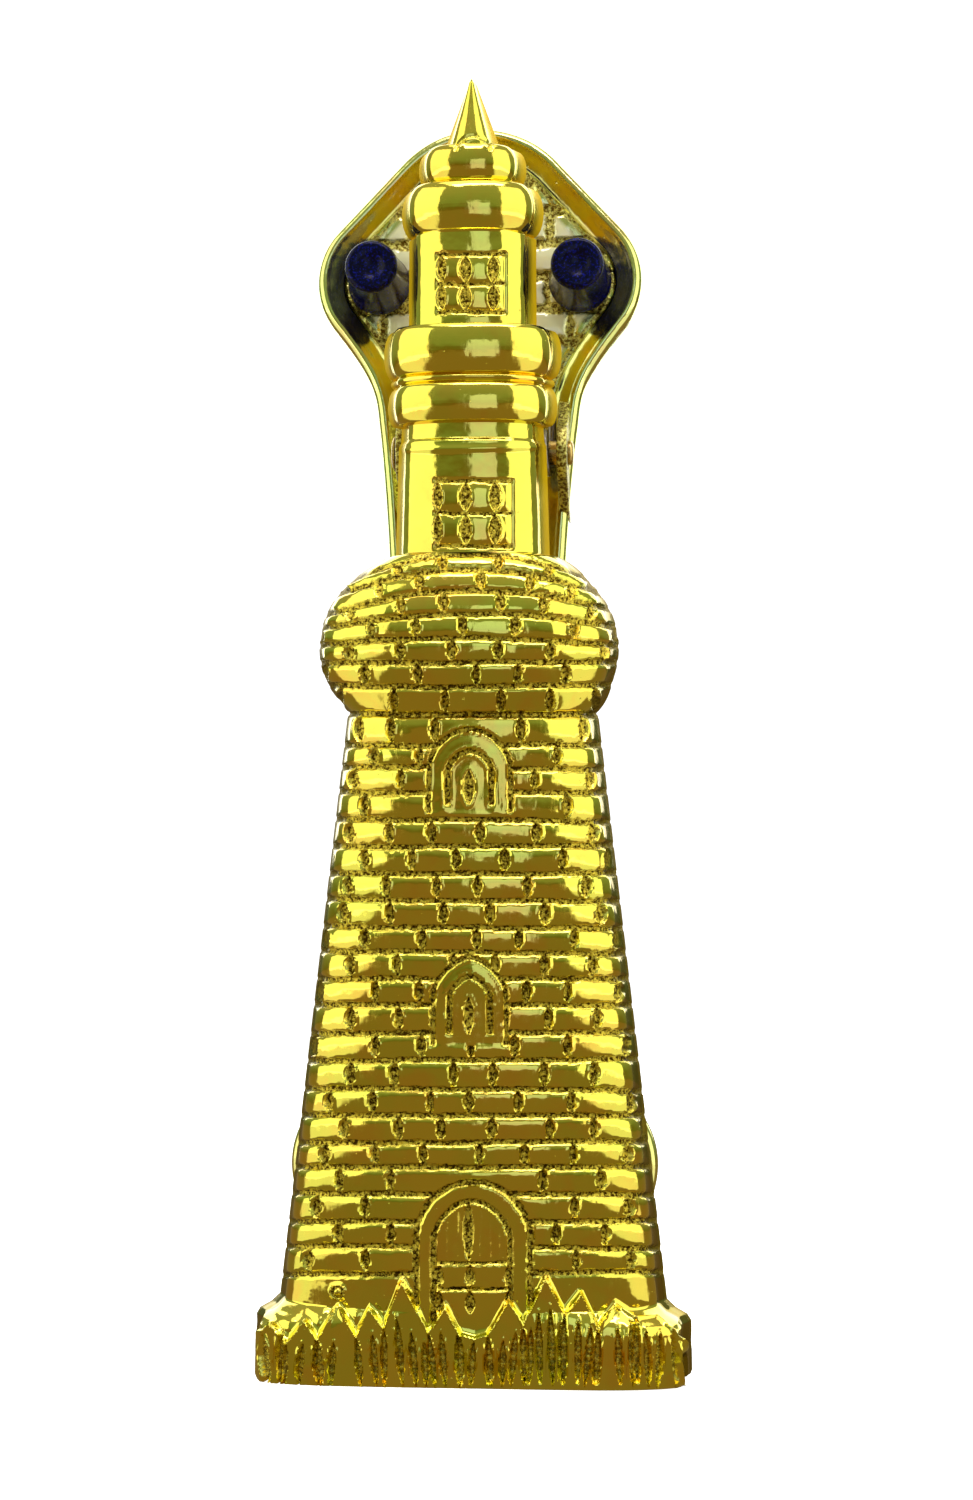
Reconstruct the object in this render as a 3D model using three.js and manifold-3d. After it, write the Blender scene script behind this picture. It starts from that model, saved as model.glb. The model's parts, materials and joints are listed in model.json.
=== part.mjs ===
// Cast brass lighthouse bottle opener: a lobed back plate with a cap mouth in its lower lobe,
// and a hollow lighthouse hinged in front of it on a sprung pin.
// Millimetres. +Z runs along the height, the front faces -Y and +X is the viewer's right.
// The origin is on the plate's flat back, at the middle of its waist.
import * as THREE from 'three';
import { mergeVertices } from 'three/addons/utils/BufferGeometryUtils.js';
import Module from 'manifold-3d';

const wasm = await Module();
wasm.setup();

// ---------- driving dimensions ----------
const GAP = 0.3; // clearance between pieces that touch

// back plate
const FLOOR = 2.2; // thickness of the recessed field
const RIM = 4.0; // height of the rim's crest above the back
const RIM_WIDTH = 3.6;
const HEAD_Z = 59.4; // height of the head's widest place
const HEAD_HALF = 20.5;
const HEAD_TIP = 19.5; // from the widest place to the top
const TIP_RADIUS = 13.4;
const SIDE_RADIUS = 9.6;
const FLANK_ANGLE = THREE.MathUtils.degToRad(38); // where the side's arc ends, below the widest place
const ARC_STEPS = 8;
const FOOT_Z = -51;
const FOOT_SCALE = 1.103; // the lower lobe against the head
const WAIST_HALF = 9.8;

// cap mouth, in the lower lobe
const MOUTH_Z = -49.5;
const MOUTH_RADIUS = 15.2;
const MOUTH_FLAT = 9.4; // from the mouth's centre down to its flat lower edge
const LIFTER_WIDTH = 13;
const LIFTER_THICK = 1.4;
const LIFTER_REACH = 4.2; // how far the tongue stands into the mouth
const RIVET_X = 3.6;

// hanging slot, behind the lantern
const SLOT_Z = 63;
const SLOT_HOLE = 3.9;
const SLOT_HALF = 2;
const SLOT_LENGTH = 7.5;

// hinge
const PIN_Z = 36.5;
const PIN_FRONT = 7.5; // distance of the pin's centre from the plate's back
const PIN_RADIUS = 1.5;
const LEFT_EAR = [-9.6, -8.4]; // across, from side to side
const RIGHT_EAR = [10.2, 11.5];
const EAR_RADIUS = 3.8;
const EAR_LENGTH = 15.5;
const LUG_RADIUS = 3.2;
const LUG_LEFT = -6.8;
const LUG_RIGHT = 4.2;
const WIRE = 1.0; // spring wire
const COIL_RADIUS = 2.45; // centre line of the spring's wire
const COIL_TURNS = 3.5;

// buffers
const BUFFER_X = 12.7;
const BUFFER_Z = 59.2;
const BUFFER_BASE = 3.95;
const BUFFER_TOP = 3.15;
const BUFFER_HEIGHT = 10;
const SCREW_RADIUS = 1.25;
const INSERT_RADIUS = 2.1;
const INSERT_LENGTH = 4.2;

// lighthouse
const HEIGHT = 160; // of the tip, along the lighthouse
const FOOT_LOW = 2.5; // height of the foot's underside on the same scale
const PIN_W = 115; // height of the pin above the foot, along the lighthouse
const LEAN = Math.atan(0.079); // the lighthouse leans away from the plate at the top
const BACK_OFFSET = 4.0; // from the pin's centre to the lighthouse's back plane
const WALL = 2.2;
const TOWER_LOW = 11.6; // height where the brick tower starts
const TOWER_TOP = 82.5;
const TOWER_HALF = 23.75; // half the tower's width where it starts
const TOWER_TAPER = 8.35; // lost from it at the top
const TOWER_DEPTH = 10.4;
const BULGE_LOW = 82.8;
const BULGE_TOP = 101.8;
const BULGE_W = 90.8; // height of the bulge's widest place
const BULGE_HALF = 18.4;
const SKIRT = 2.4; // straight edge before the relief rounds over

// ---------- materials ----------
const metal = (color, roughness) => new THREE.MeshStandardMaterial({ color, roughness, metalness: 1 });
const BRASS = metal(0xd9b21f, 0.18);
const PLATE_BRASS = metal(0xd2aa22, 0.22);
const STEEL = metal(0xb8bcc0, 0.3);
const SPRING_STEEL = metal(0x8f8b80, 0.35);
const PIN_BRASS = metal(0xc9a54a, 0.3);
const RUBBER = new THREE.MeshStandardMaterial({ color: 0x14163f, roughness: 0.35, metalness: 0 });

// ---------- solids ----------
function toSolid(geometry) {
  const bare = geometry.clone();
  bare.deleteAttribute('normal');
  bare.deleteAttribute('uv');
  const merged = mergeVertices(bare, 1e-4);
  return new wasm.Manifold(new wasm.Mesh({
    numProp: 3,
    vertProperties: new Float32Array(merged.attributes.position.array),
    triVerts: new Uint32Array(merged.index.array),
  }));
}

function toGeometry(solid) {
  const mesh = solid.getMesh();
  const geometry = new THREE.BufferGeometry();
  geometry.setAttribute('position', new THREE.BufferAttribute(new Float32Array(mesh.vertProperties), 3));
  geometry.setIndex(new THREE.BufferAttribute(new Uint32Array(mesh.triVerts), 1));
  geometry.computeVertexNormals();
  return geometry;
}

function subtract(solid, ...geometries) {
  return geometries.reduce((left, geometry) => left.subtract(toSolid(geometry)), solid);
}

// closed solid through a stack of outlines that all have the same number of points
function loft(rings) {
  const count = rings[0].length;
  const position = rings.flat().flatMap((p) => [p.x, p.y, p.z]);
  const index = [];
  for (let r = 0; r + 1 < rings.length; r += 1) {
    for (let i = 0; i < count; i += 1) {
      const a = r * count + i;
      const b = r * count + ((i + 1) % count);
      index.push(a, b, b + count, a, b + count, a + count);
    }
  }
  const level = rings[0].every((p) => p.z === rings[0][0].z); // rings lie flat, or stand facing -Y
  const cap = (ring, start, first) => {
    const flat = ring.map((p) => new THREE.Vector2(p.x, level ? p.y : p.z));
    const flip = first !== THREE.ShapeUtils.isClockWise(flat);
    for (const [a, b, c] of THREE.ShapeUtils.triangulateShape(flat, [])) {
      index.push(...(flip ? [start + a, start + c, start + b] : [start + a, start + b, start + c]));
    }
  };
  cap(rings[0], 0, true);
  cap(rings[rings.length - 1], (rings.length - 1) * count, false);
  const geometry = new THREE.BufferGeometry();
  geometry.setAttribute('position', new THREE.Float32BufferAttribute(position, 3));
  geometry.setIndex(index);
  return geometry;
}

// solid of revolution about Y: profile points are [radius, distance in front of the plate's back]
function turned(profile, segments, x, z) {
  const points = profile.map(([r, f]) => new THREE.Vector2(r, -f)).reverse();
  const geometry = new THREE.LatheGeometry(points, segments);
  return geometry.translate(x, 0, z);
}

// straight round bar along Y, from front distance f0 to f1
function bar(radius, f0, f1, x, z, segments = 24) {
  const geometry = new THREE.CylinderGeometry(radius, radius, f1 - f0, segments);
  return geometry.translate(x, -(f0 + f1) / 2, z);
}

// straight round bar along X
function crossBar(radius, x0, x1, y, z, segments = 24) {
  const geometry = new THREE.CylinderGeometry(radius, radius, x1 - x0, segments);
  return geometry.rotateZ(Math.PI / 2).translate((x0 + x1) / 2, y, z);
}

function block(x0, x1, y0, y1, z0, z1) {
  return new THREE.BoxGeometry(x1 - x0, y1 - y0, z1 - z0)
    .translate((x0 + x1) / 2, (y0 + y1) / 2, (z0 + z1) / 2);
}

// ---------- back plate ----------
// Right side of one lobe, walked from its tip to the neck: a round tip, a straight shoulder,
// a round side and a flank that sweeps into the neck. Scale 1 is the head; way is -1 upside down.
function walkLobe(path, z, scale, way) {
  const tipZ = HEAD_TIP - TIP_RADIUS; // centres of the tip's and the side's arcs, above the widest place
  const sideX = HEAD_HALF - SIDE_RADIUS;
  // both arcs meet the shoulder's line at this angle
  const shoulder = Math.acos((TIP_RADIUS - SIDE_RADIUS) / Math.hypot(sideX, tipZ)) - Math.atan2(tipZ, sideX);
  const put = (x, up) => new THREE.Vector2(x * scale, z + way * up * scale);
  const arc = (x, up, radius, from, to) => {
    for (let i = 0; i <= ARC_STEPS; i += 1) {
      const angle = from + ((to - from) * i) / ARC_STEPS;
      path.push(put(x + radius * Math.cos(angle), up + radius * Math.sin(angle)));
    }
  };
  arc(0, tipZ, TIP_RADIUS, Math.PI / 2, shoulder);
  arc(sideX, 0, SIDE_RADIUS, shoulder, -FLANK_ANGLE);
  const end = path[path.length - 1];
  const along = new THREE.Vector2(-Math.sin(FLANK_ANGLE), -way * Math.cos(FLANK_ANGLE));
  const bend = end.clone().addScaledVector(along, 8.6 * scale);
  const neck = put(12.6, -18);
  const sweep = new THREE.CubicBezierCurve(end, bend, bend.clone().lerp(neck, 0.3), neck);
  path.push(...sweep.getPoints(10).slice(1));
}

function plateOutline() {
  const head = [];
  const foot = [];
  walkLobe(head, HEAD_Z, 1, 1);
  walkLobe(foot, FOOT_Z, FOOT_SCALE, -1);
  foot.reverse();
  const [high, low] = [head[head.length - 1], foot[0]];
  const waist = new THREE.CubicBezierCurve(
    high, new THREE.Vector2(WAIST_HALF, high.y * 0.45), new THREE.Vector2(WAIST_HALF, low.y * 0.45), low);
  const right = [...head, ...waist.getPoints(12).slice(1, -1), ...foot];
  const left = right.slice(1, -1).map((p) => new THREE.Vector2(-p.x, p.y));
  return [right[0], ...left, ...right.slice(1).reverse()];
}

function inset(outline, distance) {
  return outline.map((p, i) => {
    const before = outline[(i + outline.length - 1) % outline.length];
    const after = outline[(i + 1) % outline.length];
    const along = after.clone().sub(before).normalize();
    return new THREE.Vector2(p.x - along.y * distance, p.y + along.x * distance);
  });
}

// side profile of a hinge ear: a long root on the plate, round over the pin
function ear([left, right]) {
  const shape = new THREE.Shape();
  const root = EAR_LENGTH / 2;
  shape.moveTo(-root, 0.5);
  shape.lineTo(-root, FLOOR + 0.6);
  shape.lineTo(-EAR_RADIUS, PIN_FRONT);
  shape.absarc(0, PIN_FRONT, EAR_RADIUS, Math.PI, 0, true);
  shape.lineTo(root, FLOOR + 0.6);
  shape.lineTo(root, 0.5);
  shape.closePath();
  const settings = { depth: right - left, bevelEnabled: false, curveSegments: 14 };
  const geometry = new THREE.ExtrudeGeometry(shape, settings);
  geometry.applyMatrix4(new THREE.Matrix4().makeBasis(
    new THREE.Vector3(0, 0, 1), new THREE.Vector3(0, -1, 0), new THREE.Vector3(1, 0, 0)));
  return geometry.translate(left, 0, PIN_Z);
}

// the mouth: a round hole with a flat lower edge that carries the lifter
function mouth() {
  const shape = new THREE.Shape();
  const start = -Math.asin(MOUTH_FLAT / MOUTH_RADIUS);
  shape.absarc(0, 0, MOUTH_RADIUS, start, Math.PI - start, false);
  shape.closePath();
  const geometry = new THREE.ExtrudeGeometry(shape, { depth: 12, bevelEnabled: false, curveSegments: 40 });
  return geometry.rotateX(Math.PI / 2).translate(0, 6, MOUTH_Z);
}

function keyhole() {
  const shape = new THREE.Shape();
  const join = Math.asin(SLOT_HALF / SLOT_HOLE);
  shape.absarc(0, 0, SLOT_HOLE, Math.PI / 2 - join, Math.PI / 2 + join - 2 * Math.PI, true);
  shape.absarc(0, SLOT_LENGTH, SLOT_HALF, Math.PI, 0, true);
  shape.closePath();
  const geometry = new THREE.ExtrudeGeometry(shape, { depth: 12, bevelEnabled: false, curveSegments: 24 });
  return geometry.rotateX(Math.PI / 2).translate(0, 6, SLOT_Z);
}

const lifterZ = MOUTH_Z - MOUTH_FLAT;
const lifterTail = 6.2; // length of the lifter that lies on the plate

function backPlate() {
  const outline = plateOutline();
  // the rim's section, as inward distance from the edge and height above the back
  const bead = [
    [0, 0], [0, 2.2], [0.25, 3.4], [0.9, RIM], [1.5, 3.85], [2.4, 3.4], [3.3, 2.9], [RIM_WIDTH, FLOOR],
  ];
  const rings = bead.map(([inward, front]) =>
    inset(outline, inward).map((p) => new THREE.Vector3(p.x, -front, p.y)));
  let solid = toSolid(loft(rings));
  for (const place of [LEFT_EAR, RIGHT_EAR]) solid = solid.add(toSolid(ear(place)));
  const cuts = [mouth(), keyhole(), crossBar(PIN_RADIUS + GAP, -20, 20, -PIN_FRONT, PIN_Z)];
  // pocket for the lifter, and its rivet holes
  const half = LIFTER_WIDTH / 2 + GAP;
  cuts.push(block(-half, half, -LIFTER_THICK - GAP, 1, lifterZ - lifterTail - GAP, lifterZ + 1));
  for (const side of [-1, 1]) {
    cuts.push(bar(0.9 + GAP, -1, 9, side * RIVET_X, lifterZ - lifterTail / 2));
    // countersunk hole for the buffer's screw
    cuts.push(turned([[0, -0.5], [SCREW_RADIUS + GAP + 1.7, -0.5], [SCREW_RADIUS + GAP, 1.2],
      [SCREW_RADIUS + GAP, 9], [0, 9]], 24, side * BUFFER_X, BUFFER_Z));
  }
  return toGeometry(subtract(solid, ...cuts));
}

// ---------- cap lifter ----------
function capLifter() {
  const shape = new THREE.Shape();
  const half = LIFTER_WIDTH / 2;
  shape.moveTo(-half, -lifterTail);
  shape.lineTo(half, -lifterTail);
  shape.lineTo(half, LIFTER_REACH - 1.6);
  shape.absarc(half - 1.6, LIFTER_REACH - 1.6, 1.6, 0, Math.PI / 2, false);
  shape.quadraticCurveTo(0, LIFTER_REACH - 1.4, -half + 1.6, LIFTER_REACH);
  shape.absarc(-half + 1.6, LIFTER_REACH - 1.6, 1.6, Math.PI / 2, Math.PI, false);
  shape.closePath();
  const settings = { depth: LIFTER_THICK, bevelEnabled: false, curveSegments: 8 };
  const geometry = new THREE.ExtrudeGeometry(shape, settings);
  geometry.rotateX(Math.PI / 2).translate(0, 0, lifterZ);
  const holes = [-1, 1].map((side) => bar(0.9 + GAP, -2, 4, side * RIVET_X, lifterZ - lifterTail / 2));
  return toGeometry(subtract(toSolid(geometry), ...holes));
}

// rivet: its head is on the recessed field and its tail is flush with the back
function rivet(side) {
  const top = FLOOR + GAP;
  const profile = [
    [0, 0], [0.9, 0], [0.9, top], [1.7, top], [1.5, top + 0.6], [0.8, top + 0.9], [0, top + 0.9],
  ];
  return turned(profile, 20, side * RIVET_X, lifterZ - lifterTail / 2);
}

// ---------- buffers ----------
function buffer(side) {
  const base = FLOOR + GAP;
  const top = base + BUFFER_HEIGHT - GAP;
  const pocket = base + 4.6;
  const profile = [[INSERT_RADIUS + GAP, base], [BUFFER_BASE - 0.3, base], [BUFFER_BASE, base + 0.5],
    [BUFFER_BASE - 0.15, base + 1.6], [BUFFER_TOP + 0.1, top - 0.8], [BUFFER_TOP - 0.4, top - 0.1],
    [1.6, top], [0.9, top - 0.35], [0, top - 0.45], [0, pocket], [INSERT_RADIUS + GAP, pocket],
    [INSERT_RADIUS + GAP, base]];
  return turned(profile, 32, side * BUFFER_X, BUFFER_Z);
}

function bufferInsert(side) {
  const base = FLOOR + GAP;
  const inner = SCREW_RADIUS + GAP;
  const top = base + INSERT_LENGTH;
  const profile = [[inner, base], [INSERT_RADIUS, base], [INSERT_RADIUS, top], [inner, top], [inner, base]];
  return turned(profile, 24, side * BUFFER_X, BUFFER_Z);
}

function bufferScrew(side) {
  const head = SCREW_RADIUS + 1.2;
  const profile = [[0, 0.55], [0.6, 0.55], [0.6, 0.15], [head, 0.15], [SCREW_RADIUS, 1.35], [SCREW_RADIUS, FLOOR + 3.6],
    [0.7, FLOOR + 4], [0, FLOOR + 4]];
  return turned(profile, 24, side * BUFFER_X, BUFFER_Z);
}

// ---------- hinge ----------
function alongX(profile, segments = 24) {
  const geometry = new THREE.LatheGeometry(profile.map(([r, x]) => new THREE.Vector2(r, x)), segments);
  return geometry.rotateZ(-Math.PI / 2).translate(0, -PIN_FRONT, PIN_Z);
}

function hingePin() {
  const left = LEFT_EAR[0] - GAP;
  const right = RIGHT_EAR[1] + GAP;
  return alongX([[0, left - 0.5], [1.5, left - 0.5], [2.2, left - 0.2], [2.2, left], [PIN_RADIUS, left],
    [PIN_RADIUS, right], [1.2, right + 0.4], [0, right + 0.4]]);
}

function spacer() {
  const [inner, outer] = [PIN_RADIUS + GAP, 2.7];
  const [x0, x1] = [LEFT_EAR[1] + GAP, LUG_LEFT - GAP];
  return alongX([[inner, x0], [outer, x0], [outer, x1], [inner, x1], [inner, x0]]);
}

// torsion spring: both legs run up from the coil, one on the plate and one on the lighthouse
class SpringLine extends THREE.Curve {
  getPoint(t, target = new THREE.Vector3()) {
    const leg = 0.16; // share of the line in each leg
    const right = RIGHT_EAR[0] - GAP - WIRE / 2;
    const left = LUG_RIGHT + GAP + WIRE / 2;
    const length = 7.5;
    if (t < leg) {
      const s = 1 - t / leg;
      const out = PIN_FRONT - RIM - GAP - WIRE / 2;
      return target.set(right, COIL_RADIUS + s * (out - COIL_RADIUS), s * length);
    }
    if (t > 1 - leg) {
      const s = (t - 1 + leg) / leg;
      return target.set(left, -COIL_RADIUS - s * 1.25, s * length);
    }
    const turn = (t - leg) / (1 - 2 * leg);
    const angle = Math.PI / 2 + turn * COIL_TURNS * 2 * Math.PI;
    const [y, z] = [COIL_RADIUS * Math.sin(angle), COIL_RADIUS * Math.cos(angle)];
    return target.set(right + turn * (left - right), y, z);
  }
}

function torsionSpring() {
  const section = new THREE.Shape();
  section.absarc(0, 0, WIRE / 2, 0, 2 * Math.PI, false);
  const geometry = new THREE.ExtrudeGeometry(section, {
    steps: 70, curveSegments: 4, bevelEnabled: false, extrudePath: new SpringLine(),
  });
  return geometry.translate(0, -PIN_FRONT, PIN_Z);
}

// ---------- lighthouse ----------
// stations from foot to tip: height, half-width, relief depth and squareness of the section
function stations() {
  const list = [];
  const put = (w, half, depth, square = 2.2) => list.push({ w, half, depth, square });
  // ring with a rounded edge between two heights
  const pillow = (w0, w1, half, depth, round) => {
    for (const s of [-1, -0.92, -0.7, -0.35, 0, 0.35, 0.7, 0.92, 1]) {
      const drop = round * (1 - Math.sqrt(1 - 0.98 * s * s));
      put((w0 + w1) / 2 + (s * (w1 - w0)) / 2, half - drop, depth - drop * 0.8);
    }
  };
  // foot block with a rounded top edge
  put(FOOT_LOW, 26.6, 9.8, 4.5);
  put(FOOT_LOW + 0.5, 26.8, 10, 4.5);
  put(9, 26.7, 10, 4.5);
  put(9.8, 26.2, 9.9, 4);
  put(10.6, 24.8, 10.1, 3);
  // tower
  for (let i = 0; i <= 8; i += 1) {
    const s = i / 8;
    put(TOWER_LOW + s * (TOWER_TOP - TOWER_LOW), TOWER_HALF - s * TOWER_TAPER, TOWER_DEPTH - s * 1.6);
  }
  // brick bulge: a flattened ball cut off by the tower and the watch room
  for (let i = 0; i <= 12; i += 1) {
    const w = BULGE_LOW + (i / 12) * (BULGE_TOP - BULGE_LOW);
    const reach = (w - BULGE_W) / (w > BULGE_W ? 13.5 : 14.2);
    const round = Math.sqrt(1 - reach * reach);
    put(w, BULGE_HALF * round, 2 + 8.8 * round);
  }
  // watch room, its collar, the two gallery rings and the bead between them
  put(BULGE_TOP + 0.3, 9.45, 7);
  put(115.4, 9.05, 6.8);
  put(115.9, 8.8, 6.5);
  put(117.6, 8.7, 6.5);
  pillow(117.8, 122.4, 10.4, 8, 0.9);
  put(122.5, 10, 7.4);
  put(123.5, 10, 7.4);
  pillow(123.6, 129.4, 10.9, 8.4, 1.1);
  // lantern room, dome and cornice
  put(129.6, 7.85, 6.4);
  put(140.6, 7.8, 6.3);
  pillow(140.8, 146.7, 8.7, 7.4, 1.4);
  pillow(146.9, 151.3, 6.6, 6.2, 1.1);
  // spire
  put(151.5, 3.5, 4.6);
  put(HEIGHT - 0.5, 0.55, 2.2);
  put(HEIGHT, 0.25, 1.6);
  return list;
}

// one outline across the relief: flat back, straight skirt and a rounded front
function section({ w, half, depth, square }, low = 0) {
  const points = [new THREE.Vector3(-half, -low, w)];
  const skirt = Math.min(SKIRT, depth * 0.5);
  for (let i = 0; i <= 12; i += 1) {
    const angle = (i / 12) * Math.PI;
    const across = Math.sign(Math.cos(angle)) * Math.abs(Math.cos(angle)) ** (2 / square);
    const out = Math.abs(Math.sin(angle)) ** (2 / square);
    points.push(new THREE.Vector3(-half * across, -skirt - (depth - skirt) * out, w));
  }
  points.push(new THREE.Vector3(half, -low, w));
  return points;
}

function hollow(list, from, to) {
  const inside = list.filter(({ w }) => w > from && w < to)
    .map((s) => ({ ...s, half: s.half - WALL, depth: s.depth - WALL }));
  const first = { ...inside[0], w: from };
  const last = { ...inside[inside.length - 1], w: to };
  return loft([first, ...inside, last].map((s) => section(s, -1)));
}

function lighthouse() {
  const list = stations();
  let solid = toSolid(loft(list.map((s) => section(s))));
  // three rooms that run into one another: the foot, the tower and the bulge
  solid = subtract(solid, hollow(list, FOOT_LOW + WALL, 9.5), hollow(list, 9, TOWER_TOP + 0.1),
    hollow(list, TOWER_TOP - 0.2, BULGE_TOP - 1.6));
  // lug: from inside the watch room back round the pin
  const lug = new THREE.Shape();
  lug.moveTo(LUG_RADIUS, -BACK_OFFSET - 3);
  lug.lineTo(LUG_RADIUS, 0);
  lug.absarc(0, 0, LUG_RADIUS, 0, Math.PI, false);
  lug.lineTo(-LUG_RADIUS, -BACK_OFFSET - 3);
  lug.closePath();
  const settings = { depth: LUG_RIGHT - LUG_LEFT, bevelEnabled: false, curveSegments: 16 };
  const lugBar = new THREE.ExtrudeGeometry(lug, settings);
  lugBar.applyMatrix4(new THREE.Matrix4().makeBasis(
    new THREE.Vector3(0, 0, 1), new THREE.Vector3(0, 1, 0), new THREE.Vector3(-1, 0, 0)));
  lugBar.translate(LUG_RIGHT, BACK_OFFSET, PIN_W);
  solid = solid.add(toSolid(lugBar));
  solid = subtract(solid, crossBar(PIN_RADIUS + GAP, -12, 12, BACK_OFFSET, PIN_W));
  return toGeometry(solid).translate(0, -BACK_OFFSET, -PIN_W);
}

// ---------- assembly ----------
const group = new THREE.Group();

function add(name, geometry, material, parent = group) {
  const mesh = new THREE.Mesh(geometry, material);
  mesh.name = name;
  parent.add(mesh);
}

add('back_plate', backPlate(), PLATE_BRASS);
add('cap_lifter', capLifter(), STEEL);
add('hinge_pin', hingePin(), PIN_BRASS);
add('hinge_spacer', spacer(), PIN_BRASS);
add('torsion_spring', torsionSpring(), SPRING_STEEL);
for (const [side, word] of [[-1, 'left'], [1, 'right']]) {
  add(`lifter_rivet_${word}`, rivet(side), STEEL);
  add(`buffer_${word}`, buffer(side), RUBBER);
  add(`buffer_insert_${word}`, bufferInsert(side), PIN_BRASS);
  add(`buffer_screw_${word}`, bufferScrew(side), STEEL);
}

// the lighthouse swings about the pin and leans forward at the top
const hinge = new THREE.Group();
hinge.position.set(0, -PIN_FRONT, PIN_Z);
hinge.rotation.x = LEAN;
group.add(hinge);
add('lighthouse', lighthouse(), BRASS, hinge);

export default group;
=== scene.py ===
"""Brass lighthouse bottle opener: the looks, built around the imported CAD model.

Lengths are in millimetres until a mesh is written, and then in metres in the row frame
(+Z up, front facing -Y).
"""

import json
import math

import bmesh
import bpy
import numpy as np
from mathutils import Matrix, Vector, geometry


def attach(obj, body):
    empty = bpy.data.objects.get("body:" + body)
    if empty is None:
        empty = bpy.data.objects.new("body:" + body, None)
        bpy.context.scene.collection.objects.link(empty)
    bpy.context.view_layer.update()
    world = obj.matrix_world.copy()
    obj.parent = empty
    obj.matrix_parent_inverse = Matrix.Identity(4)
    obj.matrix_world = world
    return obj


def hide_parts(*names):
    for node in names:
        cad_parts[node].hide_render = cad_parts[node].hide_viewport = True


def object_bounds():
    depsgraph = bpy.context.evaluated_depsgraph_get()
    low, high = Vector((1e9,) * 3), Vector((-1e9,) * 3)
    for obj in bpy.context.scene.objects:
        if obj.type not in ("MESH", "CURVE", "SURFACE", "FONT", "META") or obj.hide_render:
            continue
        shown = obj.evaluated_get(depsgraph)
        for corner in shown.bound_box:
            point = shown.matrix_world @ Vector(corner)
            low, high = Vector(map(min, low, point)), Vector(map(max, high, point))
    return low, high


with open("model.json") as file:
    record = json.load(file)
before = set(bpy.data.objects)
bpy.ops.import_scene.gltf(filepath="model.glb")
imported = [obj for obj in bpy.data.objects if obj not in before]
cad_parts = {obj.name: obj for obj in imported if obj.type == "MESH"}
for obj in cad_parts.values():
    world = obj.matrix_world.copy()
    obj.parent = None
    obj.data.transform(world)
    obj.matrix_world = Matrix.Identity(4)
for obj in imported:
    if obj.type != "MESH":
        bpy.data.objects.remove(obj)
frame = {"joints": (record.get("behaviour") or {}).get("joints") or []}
cad_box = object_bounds()
MM = 0.001

# ---------- dimensions shared with the CAD model ----------
HINGE = [v / MM for v in frame["joints"][0]["pos_m"]]
PIN_FRONT, PIN_Z = -HINGE[1], HINGE[2]
LEAN = math.atan(0.079)  # the lighthouse leans away from the plate at the top
PIN_W = 115.0  # height of the pin above the foot, along the lighthouse
BACK_OFFSET = 4.0  # from the pin's centre to the lighthouse's back plane
HEIGHT = 160.0
FOOT_LOW = 2.5  # height of the foot's underside on the same scale
WALL = 2.2
FLOOR = 2.2  # thickness of the plate's recessed field
RIM = 4.0
RIM_WIDTH = 3.6
HEAD_Z, HEAD_HALF, HEAD_TIP = 59.4, 20.5, 19.5
TIP_RADIUS, SIDE_RADIUS, FLANK_ANGLE = 13.4, 9.6, math.radians(38)
FOOT_Z, FOOT_SCALE, WAIST_HALF = -51.0, 1.103, 9.8
MOUTH_Z, MOUTH_RADIUS, MOUTH_FLAT = -49.5, 15.2, 9.4
SLOT_Z, SLOT_HOLE, SLOT_HALF, SLOT_LENGTH = 63.0, 3.9, 2.0, 7.5
GAP = 0.3
LEFT_EAR, RIGHT_EAR = (-9.6, -8.4), (10.2, 11.5)  # across
EAR_RADIUS, EAR_FOOT = 3.8, 7.75  # the round end, and half the width of the root
PIN_HOLE = 1.8  # radius
LIFTER_Z = MOUTH_Z - MOUTH_FLAT
LIFTER_TAIL, LIFTER_WIDTH, LIFTER_THICK, LIFTER_REACH = 6.2, 13.0, 1.4, 4.2
RIVET_X, RIVET_Z, RIVET_HOLE = 3.6, LIFTER_Z - LIFTER_TAIL / 2, 1.2
BUFFER_X, BUFFER_Z = 12.7, 59.2
SCREW_RADIUS, INSERT_RADIUS = 1.25, 2.1


# ---------- small helpers ----------
def smooth(a, b, x):
    """0 below a, 1 above b and a smooth step between."""
    t = np.clip((x - a) / (b - a), 0.0, 1.0)
    return t * t * (3 - 2 * t)


def hashed(*keys):
    """Repeatable noise in 0..1 from whole-number keys."""
    total = sum(np.asarray(k, float) * m for k, m in zip(keys, (12.9898, 78.233, 37.719)))
    value = np.sin(total + 4.137) * 43758.5453
    return value - np.floor(value)


def value_noise(x, y, size, seed):
    """Smooth noise in -1..1 with cells of the given size."""
    gx, gy = x / size, y / size
    ix, iy = np.floor(gx), np.floor(gy)
    fx, fy = gx - ix, gy - iy
    fx, fy = fx * fx * (3 - 2 * fx), fy * fy * (3 - 2 * fy)
    corner = [[hashed(ix + i, iy + j, seed) for j in (0, 1)] for i in (0, 1)]
    low = corner[0][0] * (1 - fy) + corner[0][1] * fy
    high = corner[1][0] * (1 - fy) + corner[1][1] * fy
    return (low * (1 - fx) + high * fx) * 2 - 1


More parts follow.
